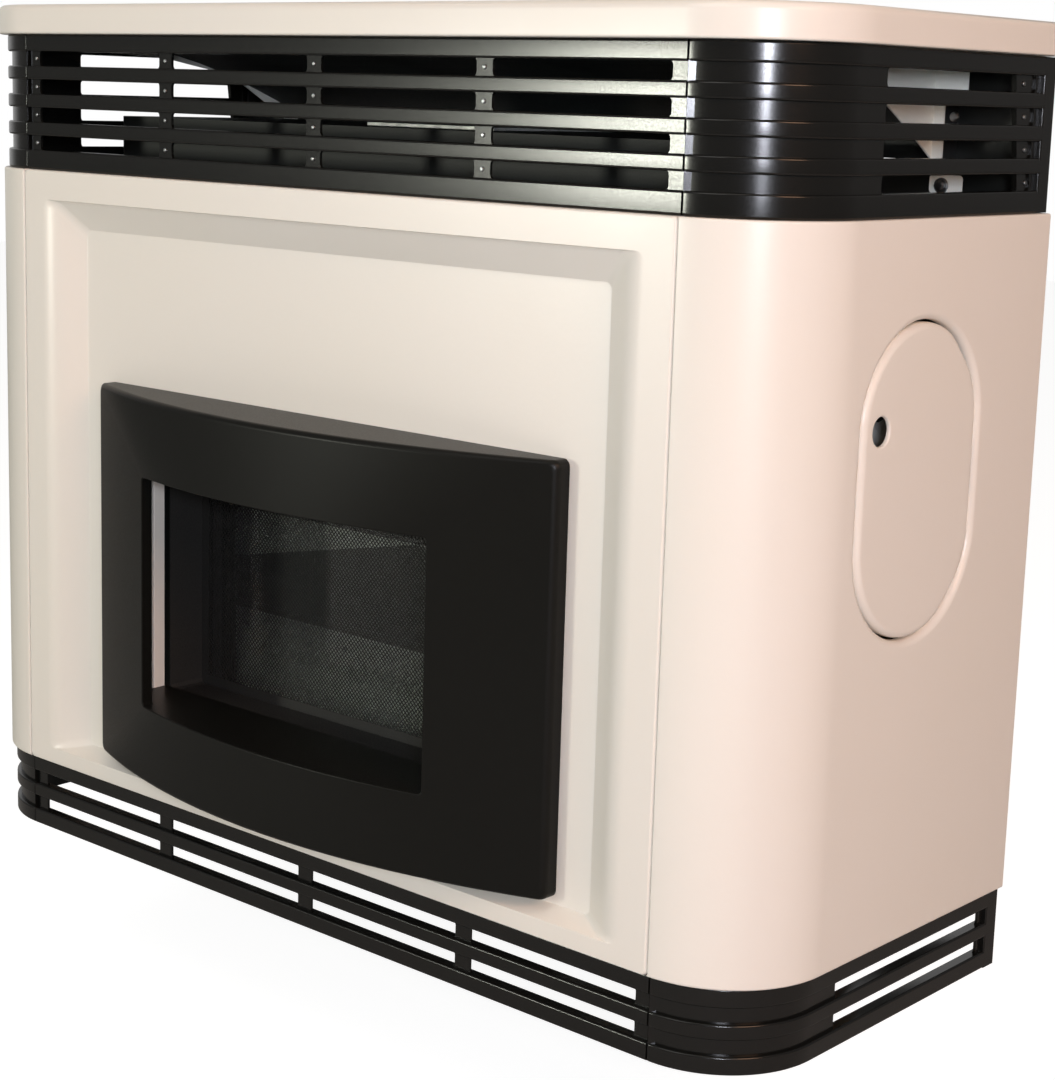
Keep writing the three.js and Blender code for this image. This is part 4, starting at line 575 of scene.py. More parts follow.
def ovalHalves(obj, radius, x):
    onCircle = lambda p: near(p.x, x) and near(
        math.hypot(p.y - door["y"], p.z - door["z"]), radius, 0.2)
    pick(obj, "VERT", lambda p: onCircle(p) and p.z > door["z"])
    move(0, 0, door["rise"])
    pick(obj, "VERT", lambda p: onCircle(p) and p.z < door["z"])
    move(0, 0, -door["rise"])


def inOval(p, radius):
    high = max(abs(p.z - door["z"]) - door["rise"], 0)
    return math.hypot(p.y - door["y"], high) < radius


# a quarter circle in steps, each as its parts along the first and the second side
def quarter(radius, steps):
    turns = [math.pi / 2 * i / steps for i in range(steps + 1)]
    return [(radius * (math.sin(b) - math.sin(a)), radius * (math.cos(a) - math.cos(b)))
            for a, b in zip(turns, turns[1:])]


# the picked face of a side sheet is turned in over a rounded edge and opened
def sunkLip(radius, depth, steps):
    for across, down in quarter(radius, steps):
        insetBy(across, -down)
    pull(radius - depth)
    bpy.ops.mesh.delete(type="FACE")


def buildCover():
    s = cover
    turn = s["face"] + s["side"] - s["seam"]    # where the rounded corner ends
    clearPicks()
    bpy.ops.mesh.primitive_plane_add(size=1, rotation=(0, math.pi / 2, 0), location=at(
        s["seam"], s["face"] + s["fold"] / 2, (s["bottom"] + s["top"]) / 2))
    bpy.context.object.scale = ((s["top"] - s["bottom"]) * mm, s["fold"] * mm, 1)
    obj = named("sideCover")
    pick(obj, "FACE", lambda p: True)
    bpy.ops.mesh.delete(type="ONLY_FACE")
    pick(obj, "EDGE", lambda p: near(p.y, s["face"] + s["fold"]), along=2)
    bpy.ops.mesh.delete(type="EDGE")
    pick(obj, "VERT", lambda p: near(p.y, s["face"]))
    roundOff(s["foldR"], 4, corners=True)
    pick(obj, "EDGE", lambda p: True)
    bpy.ops.mesh.spin(
        steps=s["turnSteps"], angle=math.pi / 2, axis=(0, 0, -1), center=at(s["seam"], turn, 0)
    )
    pick(obj, "EDGE", lambda p: near(p.y, turn) and p.x > s["seam"] + 5)
    pull(0, s["rear"] - turn)
    pick(obj, "EDGE", lambda p: near(p.y, s["rear"]) and near(p.x, s["side"]), along=2)
    pull(-s["fold"])
    pick(obj, "EDGE", lambda p: near(p.x, s["seam"]) and near(p.y, s["face"]), along=2)
    pull(0, s["seamFold"])
    pick(obj, "EDGE", lambda p: near(p.x, s["seam"]) and near(p.y, s["face"]), along=2)
    roundOff(s["seamR"], 3)
    left = mirrored(obj, "sideCoverLeft")
    faceAlong(left, (-1, -1, 0))
    thicken(left, s["sheet"])

    # the opening: the flat side is cut open, an oval is set in and the sheet filled between
    d = door
    pick(obj, "FACE", lambda p: near(p.x, s["side"]) and p.y > turn - 0.1)
    bpy.ops.mesh.delete(type="ONLY_FACE")
    outer = d["radius"] + d["gap"] + d["edgeR"]
    addOval(outer, s["side"], False)
    ovalHalves(obj, outer, s["side"])
    pick(obj, "EDGE", lambda p: near(p.x, s["side"]) and p.y > turn - 0.1 and (
        near(p.y, turn) or near(p.y, s["rear"]) or inOval(p, outer + 0.5)
        or near(p.z, s["bottom"] + s["foldR"]) or near(p.z, s["top"] - s["foldR"])))
    bpy.ops.mesh.fill(use_beauty=True)
    pick(obj, "EDGE", lambda p: near(p.x, s["side"]) and inOval(p, outer + 0.5), openOnly=True)
    bpy.ops.mesh.edge_face_add()
    bpy.ops.mesh.select_mode(type="FACE")
    sunkLip(d["edgeR"], d["rim"], d["edgeSteps"])
    faceAlong(obj, (1, -1, 0))
    thicken(obj, s["sheet"])
    obj.name = "sideCoverRight"
    fit(left, "case", "cream_enamel", "side_cover_left")
    return fit(obj, "case", "cream_enamel", "side_cover_right")


def buildDoor():
    s = door
    clearPicks()
    start = cover["side"] - s["edgeR"]
    addOval(s["radius"], start, True)
    obj = named("doorLeaf")
    ovalHalves(obj, s["radius"], start)
    # drawn in a little where the edge crosses the hinge line, so that the open door clears the lip
    clearPicks()
    for y in sorted({round(v.co.y / mm, 2) for v in obj.data.vertices}):
        nip = s["nip"] * math.exp(-((y - s["nipY"]) / s["nipWide"]) ** 2)
        for side in (-1, 1):
            if nip > 0.05 and pick(obj, "VERT", lambda p: round(p.y, 2) == y
                                   and side * (p.z - s["z"]) > 0):
                move(0, 0, -side * nip)
    pick(obj, "FACE", lambda p: True)
    for up, across in quarter(s["edgeR"], s["edgeSteps"]):
        insetBy(across, up)
    # finger hole: the face is opened, a circle set in, filled round and sunk with a rolled lip
    face = cover["side"]
    bpy.ops.mesh.delete(type="ONLY_FACE")
    outer = s["holeR"] + s["holeEdge"]
    addCircle(outer, (face, s["holeY"], s["holeZ"]), s["holeAround"], toSide)
    pick(obj, "EDGE", lambda p: near(p.x, face))
    bpy.ops.mesh.fill(use_beauty=True)
    pick(obj, "EDGE", lambda p: near(p.x, face) and math.hypot(
        p.y - s["holeY"], p.z - s["holeZ"]) < outer + 0.2, openOnly=True)
    bpy.ops.mesh.edge_face_add()
    bpy.ops.mesh.select_mode(type="FACE")
    sunkLip(s["holeEdge"], s["holeDepth"], 4)
    pick(obj, "EDGE", lambda p: near(p.x, start), openOnly=True)
    pull(s["edgeR"] - s["rim"])
    faceAlong(obj, (1, 0, 0))
    thicken(obj, s["sheet"])
    # room for the bracket's eye, then the two lugs round the hinge axis
    relief = addBlock("relief", (face - s["reliefIn"], face - s["sheet"]), s["reliefY"],
                      (s["z"] - s["reliefHalf"], s["z"] + s["reliefHalf"]))
    combine(obj, relief, "DIFFERENCE")
    for side in (-1, 1):
        z = s["z"] + side * s["lugOut"]
        lug = addBlock(
            "lug", (s["hingeX"], face - s["sheet"] / 2),
            (s["hingeY"] - s["eyeR"], s["hingeY"] + s["eyeR"]), (z - s["lug"] / 2, z + s["lug"] / 2)
        )
        pick(lug, "FACE", lambda p: near(p.x, s["hingeX"]))
        pull(-s["eyeR"])
        pick(lug, "EDGE", lambda p: near(p.x, s["hingeX"] - s["eyeR"]), along=2)
        roundOff(s["eyeR"] * 0.98, 8)
        combine(obj, closeUp(lug), "UNION")
    hinge = (s["hingeX"], s["hingeY"], s["z"])
    combine(obj, addRod("bore", s["boreR"], s["bore"], hinge, s["holeAround"]), "DIFFERENCE")
    return fit(obj, "door", "cream_enamel", "control_door")


# grilles
grille = {
    "half": 303.6, "face": -290.5, "slatDepth": 8, "slatR": 1.5, "webBack": 3, "web": 2,
    "first": 292, "column": 136.25, "columns": 4, "mullion": 13, "slotR": 3, "lap": 0.6,
    "slotFront": -192, "slotRear": -21, "rear": -2, "seam": 304.4, "side": 374.5,
    "turnSteps": 28, "seamR": 0.9, "webShort": 1.2, "endWall": 2, "endFront": -286.5,
    "endRear": -278.5, "rampX": (304.6, 308.3), "rampY": (-290.1, -285.6),
    "strapX": (366.6, 370.1), "strapLean": 13, "post": 13, "postIn": 1, "postDeep": 5,
    "postLap": 0.1, "postR": 1.2,
}
upperRows = {
    "low": 505.3, "high": 602.2, "strap": (-45, -20),
    "slats": [(505.3, 519.2), (529.6, 539.4), (549.8, 559.6), (570, 579.8), (590.2, 602.2)],
}
lowerRows = {"low": 0.3, "high": 54.7, "slats": [(0.3, 12), (22.4, 32.2), (42.6, 54.7)]}


# heights between the slats, lapping a little under them
def slotsBetween(slats):
    lap = grille["lap"]
    return [(a[1] - lap, b[0] + lap) for a, b in zip(slats, slats[1:])]


# slots with rounded corners, cut through a web along the given axis
def cutSlots(web, slots, through):
    cutters = []
    for xs, ys, zs in slots:
        slot = addBlock("slot", xs, ys, zs)
        pick(slot, "EDGE", lambda p: True, along=through)
        roundOff(grille["slotR"], 5)
        cutters.append(slot)
    combine(web, joined("slots", cutters), "DIFFERENCE")


def frontGrille(name, rows, node):
    s = grille
    slats = []
    for low, high in rows["slats"]:
        slat = addBlock(
            "slat", (-s["half"], s["half"]), (s["face"], s["face"] + s["slatDepth"]), (low, high)
        )
        pick(slat, "EDGE", lambda p: near(p.y, s["face"]), along=0)
        roundOff(s["slatR"], 4)
        slats.append(slat)
    front = s["face"] + s["webBack"]
    inside = s["half"] - 2 * s["lap"]
    low, high = rows["low"] + s["lap"], rows["high"] - s["lap"]
    web = addBlock(name, (-inside, inside), (front, front + s["web"]), (low, high))
    columns = [-s["first"] + i * (s["column"] + s["mullion"]) for i in range(s["columns"])]
    cutSlots(web, [((x, x + s["column"]), (s["face"], s["endRear"]), heights)
                   for heights in slotsBetween(rows["slats"]) for x in columns], 1)
    end = s["half"] - s["lap"]
    ends = [
        addBlock("end", sorted((side * end, side * (end - s["endWall"]))),
                 (s["endFront"], s["face"] + s["slatDepth"]), (low + s["lap"], high - s["lap"]))
        for side in (-1, 1)
    ]
    combine(web, joined("slats", slats), "UNION")
    combine(web, joined("ends", ends), "UNION")
    return fit(web, "case", "grille_black", node, degrees=30)


# closed bar that starts at the seam, turns the corner and runs to the rear
def spunBar(name, depthFrom, depthTo, low, high, radius, rear):
    s = grille
    clearPicks()
    front, back = s["face"] + depthFrom, s["face"] + depthTo
    bpy.ops.mesh.primitive_plane_add(size=1, rotation=(0, math.pi / 2, 0), location=at(
        s["seam"], (front + back) / 2, (low + high) / 2))
    bpy.context.object.scale = ((high - low) * mm, (back - front) * mm, 1)
    obj = named(name)
    if radius:
        pick(obj, "VERT", lambda p: near(p.y, front))
        roundOff(radius, 4, corners=True)
    pick(obj, "FACE", lambda p: True)
    turn = s["face"] + s["side"] - s["seam"]
    bpy.ops.mesh.spin(
        steps=s["turnSteps"], angle=math.pi / 2, axis=(0, 0, -1), center=at(s["seam"], turn, 0)
    )
    pick(obj, "FACE", lambda p: near(p.y, turn) and p.x > s["seam"] + 5)
    pull(0, rear - turn)
    closeUp(obj)
    if radius:
        # the end at the seam is rounded as well
        pick(obj, "EDGE", lambda p: near(p.x, s["seam"]) and p.y < front + radius + 0.1)
        roundOff(s["seamR"], 3)
    return obj


# closed shells that run into each other, with no two faces in one plane
def cornerGrille(name, rows, node, otherName, otherNode):
    s = grille
    postFront = s["rear"] - s["post"]
    slats = [
        spunBar("slat", 0, s["slatDepth"], a, b, s["slatR"], postFront + s["postIn"])
        for a, b in rows["slats"]
    ]
    low, high = rows["low"] + s["lap"], rows["high"] - s["lap"]
    web = spunBar(
        name, s["webBack"], s["webBack"] + s["web"], low, high, 0, s["rear"] - s["webShort"])
    pick(web, "VERT", lambda p: near(p.x, s["seam"]))
    move(2 * s["lap"])
    outer = s["side"] - s["webBack"]
    cutSlots(web, [((outer - s["slatDepth"], s["side"] + 1), (s["slotFront"], s["slotRear"]), heights)
                   for heights in slotsBetween(rows["slats"])], 0)
    rear = addBlock("rear", (outer - s["postDeep"], s["side"]), (postFront, s["rear"]),
                    (rows["low"] + s["postLap"], rows["high"] - s["postLap"]))
    pick(rear, "EDGE", lambda p: near(p.x, s["side"]) and near(p.y, postFront), along=2)
    roundOff(s["postR"], 4)
    start = s["seam"] + s["lap"]
    seam = addBlock("seam", (start, start + s["endWall"]), (s["endFront"], s["endRear"]),
                    (low + s["lap"], high - s["lap"]))
    parts = [web, *slats, rear, seam]
    # each groove runs out in a small ramp beside the seam
    for heights in slotsBetween(rows["slats"]):
        ramp = addBlock("ramp", s["rampX"], s["rampY"], heights)
        pick(ramp, "VERT", lambda p: near(p.x, s["rampX"][1]) and near(p.y, s["rampY"][0]))
        move(0, s["webBack"])
        parts.append(ramp)
    if "strap" in rows:
        # leaning strap behind the rear ends of the slots
        strap = addBlock("strap", s["strapX"], rows["strap"], (low + s["lap"], high - s["lap"]))
        pick(strap, "VERT", lambda p: p.z < (low + high) / 2)
        move(0, s["strapLean"])
        parts.append(strap)
    web = joined(name, parts)
    other = mirrored(web, otherName)
    closeUp(other)
    fit(other, "case", "grille_black", otherNode, degrees=30)
    return fit(web, "case", "grille_black", node, degrees=30)


# window frame
bezel = {
    "half": 220, "bottom": 78, "top": 355, "seat": -279.8, "side": -291, "bow": 44,
    "radius": 572, "edgeR": 4, "cornerR": 5, "viewHalf": 138, "viewBottom": 134,
    "viewTop": 299, "viewR": 3, "lip": 9, "lipR": 1, "sheet": 2, "across": 30,
    "ledge": 1.4, "ledgeHalf": 171, "ledgeIn": 0.3, "ledgeRear": -269.6, "rimZone": 9,
}


# each row of corners is moved forward by the height of the arc there
def bowOut(obj):
    s = bezel
    clearPicks()
    chord = math.sqrt(s["radius"] ** 2 - s["half"] ** 2)
    for x in sorted({round(v.co.x / mm, 2) for v in obj.data.vertices}):
        if pick(obj, "VERT", lambda p: round(p.x, 2) == x and p.y < s["seat"] - 0.1):
            move(0, chord - math.sqrt(s["radius"] ** 2 - x * x))


def buildBezel():
    s = bezel
    low, high, half = s["viewBottom"], s["viewTop"], s["viewHalf"]
    obj = addPlate("windowFrame", (-half, half), (low, high), s["side"])
    pick(obj, "VERT", lambda p: True)
    roundOff(s["viewR"], 5, corners=True)
    pick(obj, "EDGE", lambda p: near(p.z, low) or near(p.z, high), along=0)
    bpy.ops.mesh.subdivide(number_cuts=s["across"])
    pick(obj, "EDGE", lambda p: near(p.z, low) or near(p.z, high), along=2)
    bpy.ops.mesh.delete(type="EDGE")
    pick(obj, "EDGE", lambda p: True)
    grown = (s["top"] - s["bottom"]) / (high - low)
    pull()
    stretch(s["half"] / half, 1, grown, (0, 0, (low + high) / 2))
    onRim = lambda p: (abs(p.x) > s["half"] - s["rimZone"]
                       or not s["bottom"] + s["rimZone"] <= p.z <= s["top"] - s["rimZone"])
    pick(obj, "EDGE", onRim, openOnly=True)
    pull(0, s["seat"] - s["side"])
    pick(obj, "EDGE", lambda p: near(p.y, s["side"]) and onRim(p))
    roundOff(s["edgeR"], 5)
    isView = lambda p: (near(p.y, s["side"]) and abs(p.x) < half + 0.1
                        and low - 0.1 < p.z < high + 0.1)
    pick(obj, "EDGE", isView, openOnly=True)
    pull(0, s["lip"])
    pick(obj, "EDGE", isView)
    roundOff(s["lipR"], 3)
    bowOut(obj)
    faceAlong(obj, (0, -1, 0))
    thicken(obj, s["sheet"])
    # sheets above and below the opening, from the bowed front back to the recess floor
    parts = [obj]
    for z in (low - s["ledgeIn"] - s["ledge"], high + s["ledgeIn"]):
        ledge = addBlock("ledge", (-s["ledgeHalf"], s["ledgeHalf"]),
                         (s["side"] + s["sheet"], s["ledgeRear"]), (z, z + s["ledge"]))
        pick(ledge, "EDGE", lambda p: True, along=0)
        bpy.ops.mesh.subdivide(number_cuts=s["across"])
        bowOut(ledge)
        parts.append(closeUp(ledge))
    obj = joined("windowFrame", parts)
    return fit(obj, "case", "bezel_black", "window_bezel")


# mesh screen
screen = {
    "half": 187, "bottom": 116, "top": 302, "border": 19, "y": -231.5, "sheet": 0.8,
    "pitch": 3.4, "bar": 0.75, "barY": (-231.4, -230.8), "apart": 0.1, "lap": 0.2, "cut": 5,
}


def buildScreen():
    s = screen
    inHalf, low, high = s["half"] - s["border"], s["bottom"] + s["border"], s["top"] - s["border"]
    rise = high - low
    parts = []
    for lean in (1, -1):
        bar = addBlock("bar", (-s["bar"] / 2, s["bar"] / 2), s["barY"], (low, high))
        pick(bar, "VERT", lambda p: near(p.z, high))
        move(lean * rise)
        count = int((2 * inHalf + rise) / s["pitch"]) + 1
        start = -inHalf - (rise if lean > 0 else 0)
        pick(bar, "VERT", lambda p: True)
        move(start, s["apart"] * lean)
        useModifier(
            bar, "ARRAY", count=count, use_relative_offset=False, use_constant_offset=True,
            constant_offset_displace=(s["pitch"] * mm, 0, 0)
        )
        parts.append(bar)
    mesh = joined("meshScreen", parts)
    for side in (-1, 1):
        pick(mesh, "FACE", lambda p: True)
        bpy.ops.mesh.bisect(
            plane_co=at(side * (inHalf + s["lap"]), 0, 0), plane_no=(side, 0, 0),
            clear_outer=True, use_fill=True
        )
    rim = addBlock("rim", (-s["half"], s["half"]), (s["y"], s["y"] + s["sheet"]),
                   (s["bottom"], s["top"]))
    hole = addBlock("hole", (-inHalf, inHalf), (s["y"] - s["cut"], s["y"] + s["cut"]), (low, high))
    combine(rim, hole, "DIFFERENCE")
    obj = joined("meshScreen", [mesh, rim])
    return fit(obj, "case", "heat_black", "mesh_screen")


# end plates of the air deflector
endPlate = {
    "x": 301, "sheet": 1.2, "top": 599.5, "rear": -24.3, "wide": 25, "narrow": 9, "step": 571,
    "lap": 0.2, "wideR": 3, "narrowR": 2, "footUp": 3,
    "tab": (514.5, 526.5), "tabIn": 1, "tabR": 2.5,
    # lower edge of the plate, from the wall forwards
    "edge": [(-24.3, 535.5), (-52, 553), (-82, 570), (-120, 582), (-165, 589.5), (-244, 592.5)],
}


def buildEndPlates():
    s = endPlate
    front, level = s["edge"][-1]
    obj = addBlock("deflectorEnd", (s["x"], s["x"] + s["sheet"]), (front, s["rear"]),
                   (level, s["top"]))
    # the lower edge is cut up into steps that are then moved down onto the curve
    for y, z in s["edge"][1:-1]:
        pick(obj, "FACE", lambda p: True)
        bpy.ops.mesh.bisect(plane_co=at(0, y, 0), plane_no=(0, 1, 0))
    for y, z in s["edge"]:
        pick(obj, "VERT", lambda p: near(p.y, y) and p.z < s["top"] - 1)
        move(0, 0, z - level)
    sheet = (s["rear"] - s["sheet"], s["rear"])
    flange = addBlock("flange", (s["x"] + s["lap"], s["x"] + s["wide"]), sheet,
                      (s["step"], s["top"]))
    pick(flange, "EDGE", lambda p: near(p.x, s["x"] + s["wide"]), along=1)
    roundOff(s["wideR"], 4)
    foot = addBlock("foot", (s["x"] + s["lap"], s["x"] + s["narrow"]), sheet,
                    (s["edge"][0][1], s["step"] + s["footUp"]))
    pick(foot, "EDGE", lambda p: near(p.x, s["x"] + s["narrow"]) and p.z < s["step"], along=1)
    roundOff(s["narrowR"], 3)
    combine(obj, closeUp(flange), "UNION")
    combine(obj, closeUp(foot), "UNION")
    other = mirrored(obj, "deflectorEndLeft")
    # zinc painted nearly white as painted light, standing for the flash that falls on the end plates
    # and tabs
    zinc = plainFinish("zincPaintedFlashLight", "#FAFBF4", "#F3F5EC", (0.45, 0.6), 9, 1.0, 0.02, 0.0)
    fit(closeUp(other), "case", "galvanised", "deflector_end_left", finish=zinc)
    fit(obj, "case", "galvanised", "deflector_end_right", finish=zinc)
    for side in (-1, 1):
        across = sorted(side * (s["x"] + out) for out in (s["tabIn"], s["wide"]))
        tab = addBlock("shieldTab", across, sheet, s["tab"])
        pick(tab, "EDGE", lambda p: True, along=1)
        roundOff(s["tabR"], 4)
        fit(tab, "case", "galvanised", finish=zinc)


# small fixings, each modelled once at the origin and copied to its places
fixing = {
    "around": 20, "dome": 0.8, "grooveDown": 0.5, "sunk": 0.05, "grooveW": 0.9,
    # radius and height of each head
    "rivet": (1.5, 0.9), "stud": (1.7, 1.0), "screw": (3.4, 2.0), "washer": (5.2, 1.5),
    "largeRivet": (2, 1.2),
    "cornerPost": -295.6, "studs": 4, "studY": -34, "studBack": 3.3, "studZ": 585,
    "studDown": 20.3,
    "screws": [(317, -24.05, 563.5), (311, -26.95, 519.5)], "washers": [(311, -25.45, 519.5)],
    "guard": [(x, -211.95, 176.5) for x in (-144, -40, 64)],
    "baffle": [(x, -197.95, 256.2) for x in (-146.8, 120)],
}


def addHead(kind, grooved=False):
    radius, height = fixing[kind]
    obj = addRod(kind, radius, height, (0, 0, wallRail + height / 2), fixing["around"])
    pick(obj, "EDGE", lambda p: near(p.z, wallRail + height))
    roundOff(height * fixing["dome"], 4)
    if grooved:
        half = fixing["grooveW"] / 2
        bottom = wallRail + height * fixing["grooveDown"]
        groove = addBlock("groove", (-radius - 1, radius + 1), (-half, half),
                          (bottom, wallRail + height + 1))
        combine(obj, groove, "DIFFERENCE")
    return obj


def placeHeads(head, name, facing, spots):
    turn = Vector((0, 0, 1)).rotation_difference(Vector(facing)).to_matrix().to_4x4()
    copies = []
    for spot in spots:
        copy = duplicate(head, name)
        copy.data.transform(Matrix.Translation(at(*spot)) @ turn)
        copies.append(copy)
    bpy.data.objects.remove(head)
    fit(joined(name, copies), "case", "steel")


def buildFixings():
    s = fixing
    web = grille["face"] + grille["webBack"] - s["sunk"]
    pitch = grille["column"] + grille["mullion"]
    placeHeads(addHead("rivet"), "grilleRivets", (0, -1, 0), [
        (x, web, (a + b) / 2) for a, b in slotsBetween(upperRows["slats"])
        for x in (s["cornerPost"], -pitch, 0, pitch)])
    strap = grille["strapX"][1] - s["sunk"]
    for side in (1, -1):
        placeHeads(addHead("stud"), "strapRivets", (side, 0, 0), [
            (side * strap, s["studY"] + row * s["studBack"], s["studZ"] - row * s["studDown"])
            for row in range(s["studs"])])
        placeHeads(addHead("screw", True), "endPlateScrews", (0, -1, 0), [
            (side * x, y, z) for x, y, z in s["screws"]])
        placeHeads(addHead("washer"), "tabWasher", (0, -1, 0), [
            (side * x, y, z) for x, y, z in s["washers"]])
    placeHeads(addHead("largeRivet"), "guardRivets", (0, -1, 0), s["guard"])
    placeHeads(addHead("largeRivet"), "baffleRivets", (0, -1, 0), s["baffle"])


# flue spigot and air duct at the back: a tube with a flange round it
sleeve = {
    "x": -20, "z": 440, "around": 72, "rear": -4,
    "flueSpigot": {"radius": 40, "flange": 52, "sheet": 2, "front": -70, "seat": -61.7},
    "airDuct": {"radius": 70, "flange": 82, "sheet": 1.5, "front": -32, "seat": -25.7},
}


def buildSleeve(name, slotName, node):
    s = sleeve[name]
    parts = []
    for y in (sleeve["rear"], s["seat"]):
        clearPicks()
        addCircle(s["radius"], (sleeve["x"], y, sleeve["z"]), sleeve["around"], toFront)
        obj = named(name)
        pick(obj, "EDGE", lambda p: True)
        parts.append(obj)
        if y == s["seat"]:
            pull()
            grown = s["flange"] / s["radius"]
            stretch(grown, 1, grown, (sleeve["x"], y, sleeve["z"]))
            faceAlong(obj, (0, -1, 0))
        else:
            pull(0, s["front"] - y)
            faceAlong(obj, (0, 0, 0))   # a tube faces all ways, so it is only made consistent
        thicken(obj, s["sheet"])
    return fit(joined(name, parts), "case", slotName, node, degrees=30)


# knob and igniter button behind the door
control = {
    "knobX": 351.3, "knobL": 16, "knobR": 23, "y": -142, "knobZ": 322, "grips": 20,
    "gripR": 2.2, "gripOut": 1.21, "gripBack": 3, "edgeR": 1.8, "rim": 3.5, "dish": 1.2,
    "dishRun": 0.6, "markW": 2.2, "markIn": 5, "markOut": 19.4, "markDeep": 1.2, "markLow": 0.2,
    "markR": 0.5, "shaftR": 4.3, "shaftL": 12.8, "buttonX": 336.3, "buttonL": 23.5,
    "buttonR": 5.8, "buttonZ": 392, "buttonEdge": 1.6, "buttonRun": 0.5, "buttonDish": 0.4,
}


def addRodX(name, radius, x0, x1, y, z, around):
    middle = ((x0 + x1) / 2, y, z)
    return addRod(name, radius, x1 - x0, middle, around, (0, math.pi / 2, 0))


def buildControls():
    s = control
    y, z, face = s["y"], s["knobZ"], s["knobX"] + s["knobL"]
    knob = addRodX("gasKnob", s["knobR"], s["knobX"], face, y, z, 80)
    pick(knob, "FACE", lambda p: near(p.x, face))
    insetBy(s["rim"], 0)
    insetBy(s["dishRun"], -s["dish"])
    pick(knob, "EDGE", lambda p: near(p.x, face) and math.hypot(p.y - y, p.z - z) > s["knobR"] - 1)
    roundOff(s["edgeR"], 4)
    grooves = []
    for i in range(s["grips"]):
        turn = 2 * math.pi * i / s["grips"]
        reach = s["knobR"] + s["gripOut"]
        grooves.append(addRodX("groove", s["gripR"], s["knobX"] + s["gripBack"], face + 2,
                               y + reach * math.cos(turn), z + reach * math.sin(turn), 16))
    combine(knob, joined("grooves", grooves), "DIFFERENCE")
    combine(knob, addRodX("bore", s["shaftR"], s["knobX"] - 2, s["knobX"] + s["shaftL"], y, z, 32),
            "DIFFERENCE")
    top = face - s["markLow"]
    pointer = addBlock(
        "pointer", (face - s["dish"] - s["markDeep"], top),
        (y - s["markW"] / 2, y + s["markW"] / 2), (z + s["markIn"], z + s["markOut"]))
    pick(pointer, "EDGE", lambda p: near(p.x, top))
    roundOff(s["markR"], 2)
    combine(knob, closeUp(pointer), "UNION")
    fit(knob, "knob", "knob_black", "control_knob")

    y, z, face = s["y"], s["buttonZ"], s["buttonX"] + s["buttonL"]
    button = addRodX("igniterButton", s["buttonR"], s["buttonX"], face, y, z, 48)
    pick(button, "EDGE", lambda p: near(p.x, face))
    roundOff(s["buttonEdge"], 5)
    pick(button, "FACE", lambda p: near(p.x, face))
    insetBy(s["buttonRun"], -s["buttonDish"])
    fit(button, "igniter_button", "button_red", "piezo_button")


buildLid()
print("lid made")
buildPanel()
print("front panel made")
buildCover()
buildDoor()
print("side covers and door made")
frontGrille("upperGrilleFront", upperRows, "upper_grille_front")
frontGrille("lowerGrilleFront", lowerRows, "lower_grille_front")
cornerGrille("upperGrilleRight", upperRows, "upper_grille_right",
             "upperGrilleLeft", "upper_grille_left")
cornerGrille("lowerGrilleRight", lowerRows, "lower_grille_right",
             "lowerGrilleLeft", "lower_grille_left")
print("grilles made")
buildBezel()
buildScreen()
print("window frame and mesh made")
buildEndPlates()
buildFixings()
buildSleeve("flueSpigot", "heat_black", "flue_spigot")
buildSleeve("airDuct", "galvanised", "air_duct")
buildControls()
print("end plates, fixings, ducts and controls made")


# camera, floor and light
shot = {
    "place": (1056.79199, -1273.31296, 568.26646), "turn": 41.20393364, "pitch": 10.42476074,
    "roll": 1.70851105, "lens": 73.08, "shiftY": -0.037,
}


def addCamera():
    turn, pitch, roll = (math.radians(shot[key]) for key in ("turn", "pitch", "roll"))
    back = Vector((math.sin(turn) * math.cos(pitch), -math.cos(turn) * math.cos(pitch),
                   math.sin(pitch)))
    level = Vector((math.cos(turn), math.sin(turn), 0))
    up = back.cross(level)
    right = level * math.cos(roll) + up * math.sin(roll)
    top = up * math.cos(roll) - level * math.sin(roll)
    data = bpy.data.cameras.new("camera")
    data.lens = shot["lens"]
    data.sensor_width = 36
    data.shift_y = shot["shiftY"]
    camera = bpy.data.objects.new("camera", data)
    bpy.context.scene.collection.objects.link(camera)
    axes = Matrix((right, top, back)).transposed().to_4x4()
    camera.matrix_world = Matrix.Translation(at(*shot["place"])) @ axes
    bpy.context.scene.camera = camera


def addLamp(name, place, aim, size, power, tint="#FFFFFF"):
    data = bpy.data.lights.new(name, "AREA")
    data.size = size
    data.energy = power
    data.color = colour(tint)[:3]
    lamp = bpy.data.objects.new(name, data)
    lamp.location = place
    lamp.rotation_euler = (Vector(aim) - Vector(place)).to_track_quat("-Z", "Y").to_euler()
    bpy.context.scene.collection.objects.link(lamp)


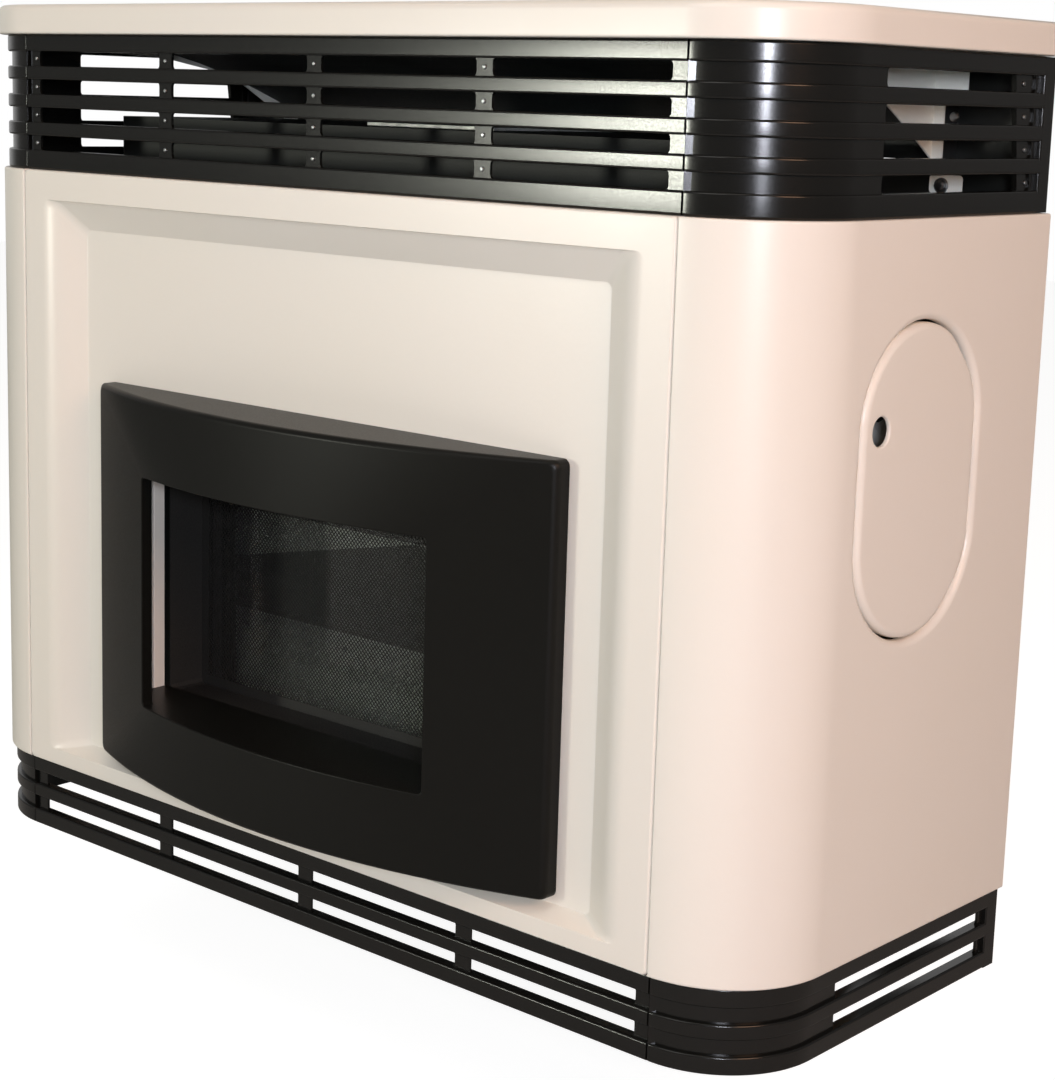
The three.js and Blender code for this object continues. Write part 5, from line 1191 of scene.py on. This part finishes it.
def addFloor():
    clearPicks()
    bpy.ops.mesh.primitive_plane_add(size=14, location=(0, 0, -0.68))
    floor = named("floor")
    # a matt floor that also glows for the camera, so that it goes over into the white behind it
    material, tree, place = startMaterial("paleFloor")
    cloud = addNode(tree, "ShaderNodeTexNoise", sockets={
        "Scale": 1 / (400 * mm)}, links={"Vector": place})
    shade = addNode(tree, "ShaderNodeMix", {"data_type": "RGBA"}, {
        6: colour("#B6B6B5"), 7: colour("#B0B0AF")}, {0: cloud.outputs["Fac"]})
    paint = addNode(tree, "ShaderNodeBsdfDiffuse", links={"Color": shade.outputs[2]})
    glow = addNode(tree, "ShaderNodeEmission", sockets={"Strength": 0.86})
    both = addNode(tree, "ShaderNodeAddShader", links={0: paint.outputs[0], 1: glow.outputs[0]})
    rays = addNode(tree, "ShaderNodeLightPath")
    seen = addNode(tree, "ShaderNodeMath", {"operation": "MAXIMUM"}, links={
        0: rays.outputs["Is Camera Ray"], 1: rays.outputs["Is Transmission Ray"]})
    shown = addNode(tree, "ShaderNodeMixShader", links={
        0: seen.outputs[0], 1: paint.outputs[0], 2: both.outputs[0]})
    addNode(tree, "ShaderNodeOutputMaterial", links={"Surface": shown.outputs[0]})
    floor.data.materials.append(material)


def addWorld():
    world = bpy.data.worlds.new("studio")
    bpy.context.scene.world = world
    world.use_nodes = True
    tree = world.node_tree
    tree.nodes.clear()
    soft = addNode(tree, "ShaderNodeBackground",
                   sockets={"Color": colour("#F6F3F0"), "Strength": 0.22})
    white = addNode(tree, "ShaderNodeBackground", sockets={"Color": (1, 1, 1, 1), "Strength": 1.0})
    rays = addNode(tree, "ShaderNodeLightPath")
    # gloss shows the white backdrop behind the heater and a dimmer room in front of it
    toward = addNode(tree, "ShaderNodeTexCoord")
    facing = addNode(tree, "ShaderNodeVectorMath", {"operation": "DOT_PRODUCT"}, {
        1: (-0.66, 0.75, 0)}, {0: toward.outputs["Generated"]})
    backdrop = addNode(tree, "ShaderNodeMapRange", sockets={
        "From Min": 0.55, "From Max": 0.75, "To Max": 0.6
    }, links={"Value": facing.outputs["Value"]})
    glossy = addNode(tree, "ShaderNodeMath", {"operation": "MULTIPLY"}, links={
        0: rays.outputs["Is Glossy Ray"], 1: backdrop.outputs[0]})
    seen = addNode(tree, "ShaderNodeMath", {"operation": "MAXIMUM"}, links={
        0: rays.outputs["Is Camera Ray"], 1: glossy.outputs[0]})
    seen = addNode(tree, "ShaderNodeMath", {"operation": "MAXIMUM"}, links={
        0: seen.outputs[0], 1: rays.outputs["Is Transmission Ray"]})
    mixed = addNode(tree, "ShaderNodeMixShader", links={
        0: seen.outputs[0], 1: soft.outputs[0], 2: white.outputs[0]})
    addNode(tree, "ShaderNodeOutputWorld", links={"Surface": mixed.outputs[0]})


addCamera()
addFloor()
addWorld()
# beside the camera, as the photograph's own flash
addLamp("flash", (1.40, -1.48, 0.11), (0.1, -0.2, -0.25), 0.2, 16, "#EFF3FF")
addLamp("frontLeft", (-1.42, -2.5, -0.04), (0, -0.2, -0.2), 0.3, 22, "#F0F2E4")
addLamp("frontHigh", (-0.3, -2.4, 1.9), (0, -0.2, -0.3), 1.4, 12, "#FFFDF8")
addLamp("overhead", (0.5, -0.7, 2.4), (0, -0.2, 0), 1.4, 8, "#FFF6EA")
addLamp("sideFill", (2.35, -1.0, 0.9), (0.3, -0.15, -0.2), 0.9, 24, "#FFC59C")
bpy.context.scene.view_settings.view_transform = "Standard"
print("camera, floor and light set")
